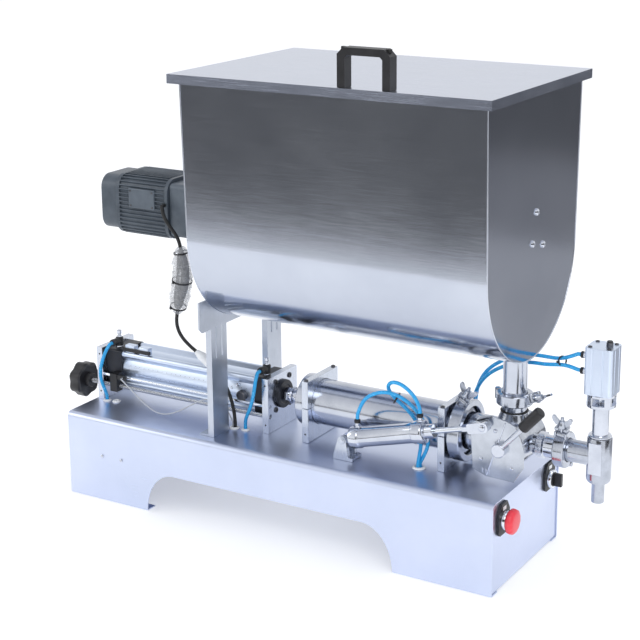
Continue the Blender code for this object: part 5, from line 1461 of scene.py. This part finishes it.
def card(name, low, high, dark, light):
    """A dark card that is seen only in reflections, and gives the metal its darker bands."""
    bm = shape()
    block(bm, low, high)
    bmesh.ops.recalc_face_normals(bm, faces=bm.faces[:])
    mesh = bpy.data.meshes.new(name)
    bm.to_mesh(mesh)
    bm.free()
    made = bpy.data.objects.new(name, mesh)
    bpy.context.scene.collection.objects.link(made)
    material, tree, shader = shader_nodes(name)
    cloud = noise(tree, mapped(tree, (1, 1, 1)), 1.2, 2.0)
    tree.links.new(blend_colours(tree, remap(tree, cloud, 0, 1), dark, light), shader.inputs["Base Color"])
    shader.inputs["Roughness"].default_value = 0.9
    shader.inputs["Specular IOR Level"].default_value = 0.1
    mesh.materials.append(material)
    made.visible_camera = False
    made.visible_shadow = False
    made.visible_diffuse = False
    made.visible_transmission = False


def make_room():
    bm = shape()
    block(bm, (-12.0, -12.0, -0.021), (12.0, 12.0, -0.001))
    bmesh.ops.recalc_face_normals(bm, faces=bm.faces[:])
    mesh = bpy.data.meshes.new("floor")
    bm.to_mesh(mesh)
    bm.free()
    floor = bpy.data.objects.new("floor", mesh)
    bpy.context.scene.collection.objects.link(floor)
    material, tree, shader = shader_nodes("floor_paint")
    cloud = noise(tree, mapped(tree, (1, 1, 1)), 1.5, 3.0)
    tone = blend_colours(tree, remap(tree, cloud, 0, 1), (0.83, 0.835, 0.84), (0.87, 0.875, 0.88))
    tree.links.new(tone, shader.inputs["Base Color"])
    tree.links.new(tone, shader.inputs["Emission Color"])
    shader.inputs["Emission Strength"].default_value = 0.42
    shader.inputs["Roughness"].default_value = 0.8
    mesh.materials.append(material)

    world = bpy.data.worlds.new("studio")
    bpy.context.scene.world = world
    world.use_nodes = True
    tree = world.node_tree
    tree.nodes.clear()
    output = tree.nodes.new("ShaderNodeOutputWorld")
    back = tree.nodes.new("ShaderNodeBackground")
    where = tree.nodes.new("ShaderNodeTexCoord")
    split = tree.nodes.new("ShaderNodeSeparateXYZ")
    ramp = tree.nodes.new("ShaderNodeValToRGB")
    tree.links.new(where.outputs["Generated"], split.inputs["Vector"])
    tree.links.new(remap(tree, split.outputs["Z"], 0, 1, -0.3, 1.0), ramp.inputs["Fac"])
    stops = ramp.color_ramp.elements
    stops[0].position, stops[0].color = 0.0, (0.98, 0.985, 1.0, 1)
    stops[1].position, stops[1].color = 1.0, (0.60, 0.62, 0.68, 1)
    middle = stops.new(0.40)
    middle.color = (0.99, 0.995, 1.0, 1)
    tree.links.new(ramp.outputs["Color"], back.inputs["Color"])
    back.inputs["Strength"].default_value = 1.0
    tree.links.new(back.outputs["Background"], output.inputs["Surface"])

    area("key", (1.6, -1.9, 2.3), (0, 0, 0.3), (1.6, 1.2), 16)
    area("left", (-2.4, -1.6, 1.4), (0, 0, 0.35), (1.0, 1.6), 10)
    area("top", (0.2, 0.4, 2.8), (0, 0, 0.4), (2.2, 1.6), 10)
    # card colours, each a darker and a paler tone: painted shade that shows only in the metal's reflections
    # as darker bands
    dim, grey = (0.125, 0.122, 0.120), (0.160, 0.157, 0.154)
    dark, reflected_shade_pale = (0.045, 0.044, 0.043), (0.070, 0.068, 0.066)
    card("card_front", (-6.0, -8.0, 0.003), (1.2, -1.62, 0.005), dim, grey)
    card("card_back", (0.60, 0.62, 0.003), (2.6, 1.90, 0.005), (0.42, 0.42, 0.43), (0.50, 0.50, 0.51))
    card("card_middle", (0.60, 1.90, 0.003), (4.0, 3.10, 0.005), (0.22, 0.22, 0.23), (0.28, 0.28, 0.29))
    card("card_far", (0.60, 3.10, 0.003), (8.0, 9.0, 0.005), (0.09, 0.09, 0.095), (0.12, 0.12, 0.125))
    card("card_camera", (-0.2, -3.4, 0.25), (2.6, -3.38, 1.75), dark, reflected_shade_pale)
    card("card_left", (-2.6, -1.2, 0.15), (-2.58, 0.9, 1.10), dark, reflected_shade_pale)
    card("card_right", (2.3, -0.7, 0.10), (2.32, 0.9, 0.95), dark, reflected_shade_pale)
    bpy.context.scene.view_settings.view_transform = "Standard"


place_camera()
make_cords()
make_base()
make_controls()
make_air_cylinder()
make_stroke_setting()
make_material_cylinder()
make_valve()
make_crank()
make_actuator()
make_outlet()
make_hopper()
make_mixer()
for node, finish, width in (
    ("end_panel_left", "side", 0), ("end_panel_right", "side", 0), ("estop_plate", "black", 0.0006),
    ("selector_plate", "black", 0.0006), ("air_valve_block", "anodised", 0.0006),
    ("cylinder_rear_plate", "plate", 0.0006), ("cylinder_front_plate", "plate", 0.0006),
    ("sensor_carriage", "black", 0.0006),
):
    soften(node, finish, width)
make_room()
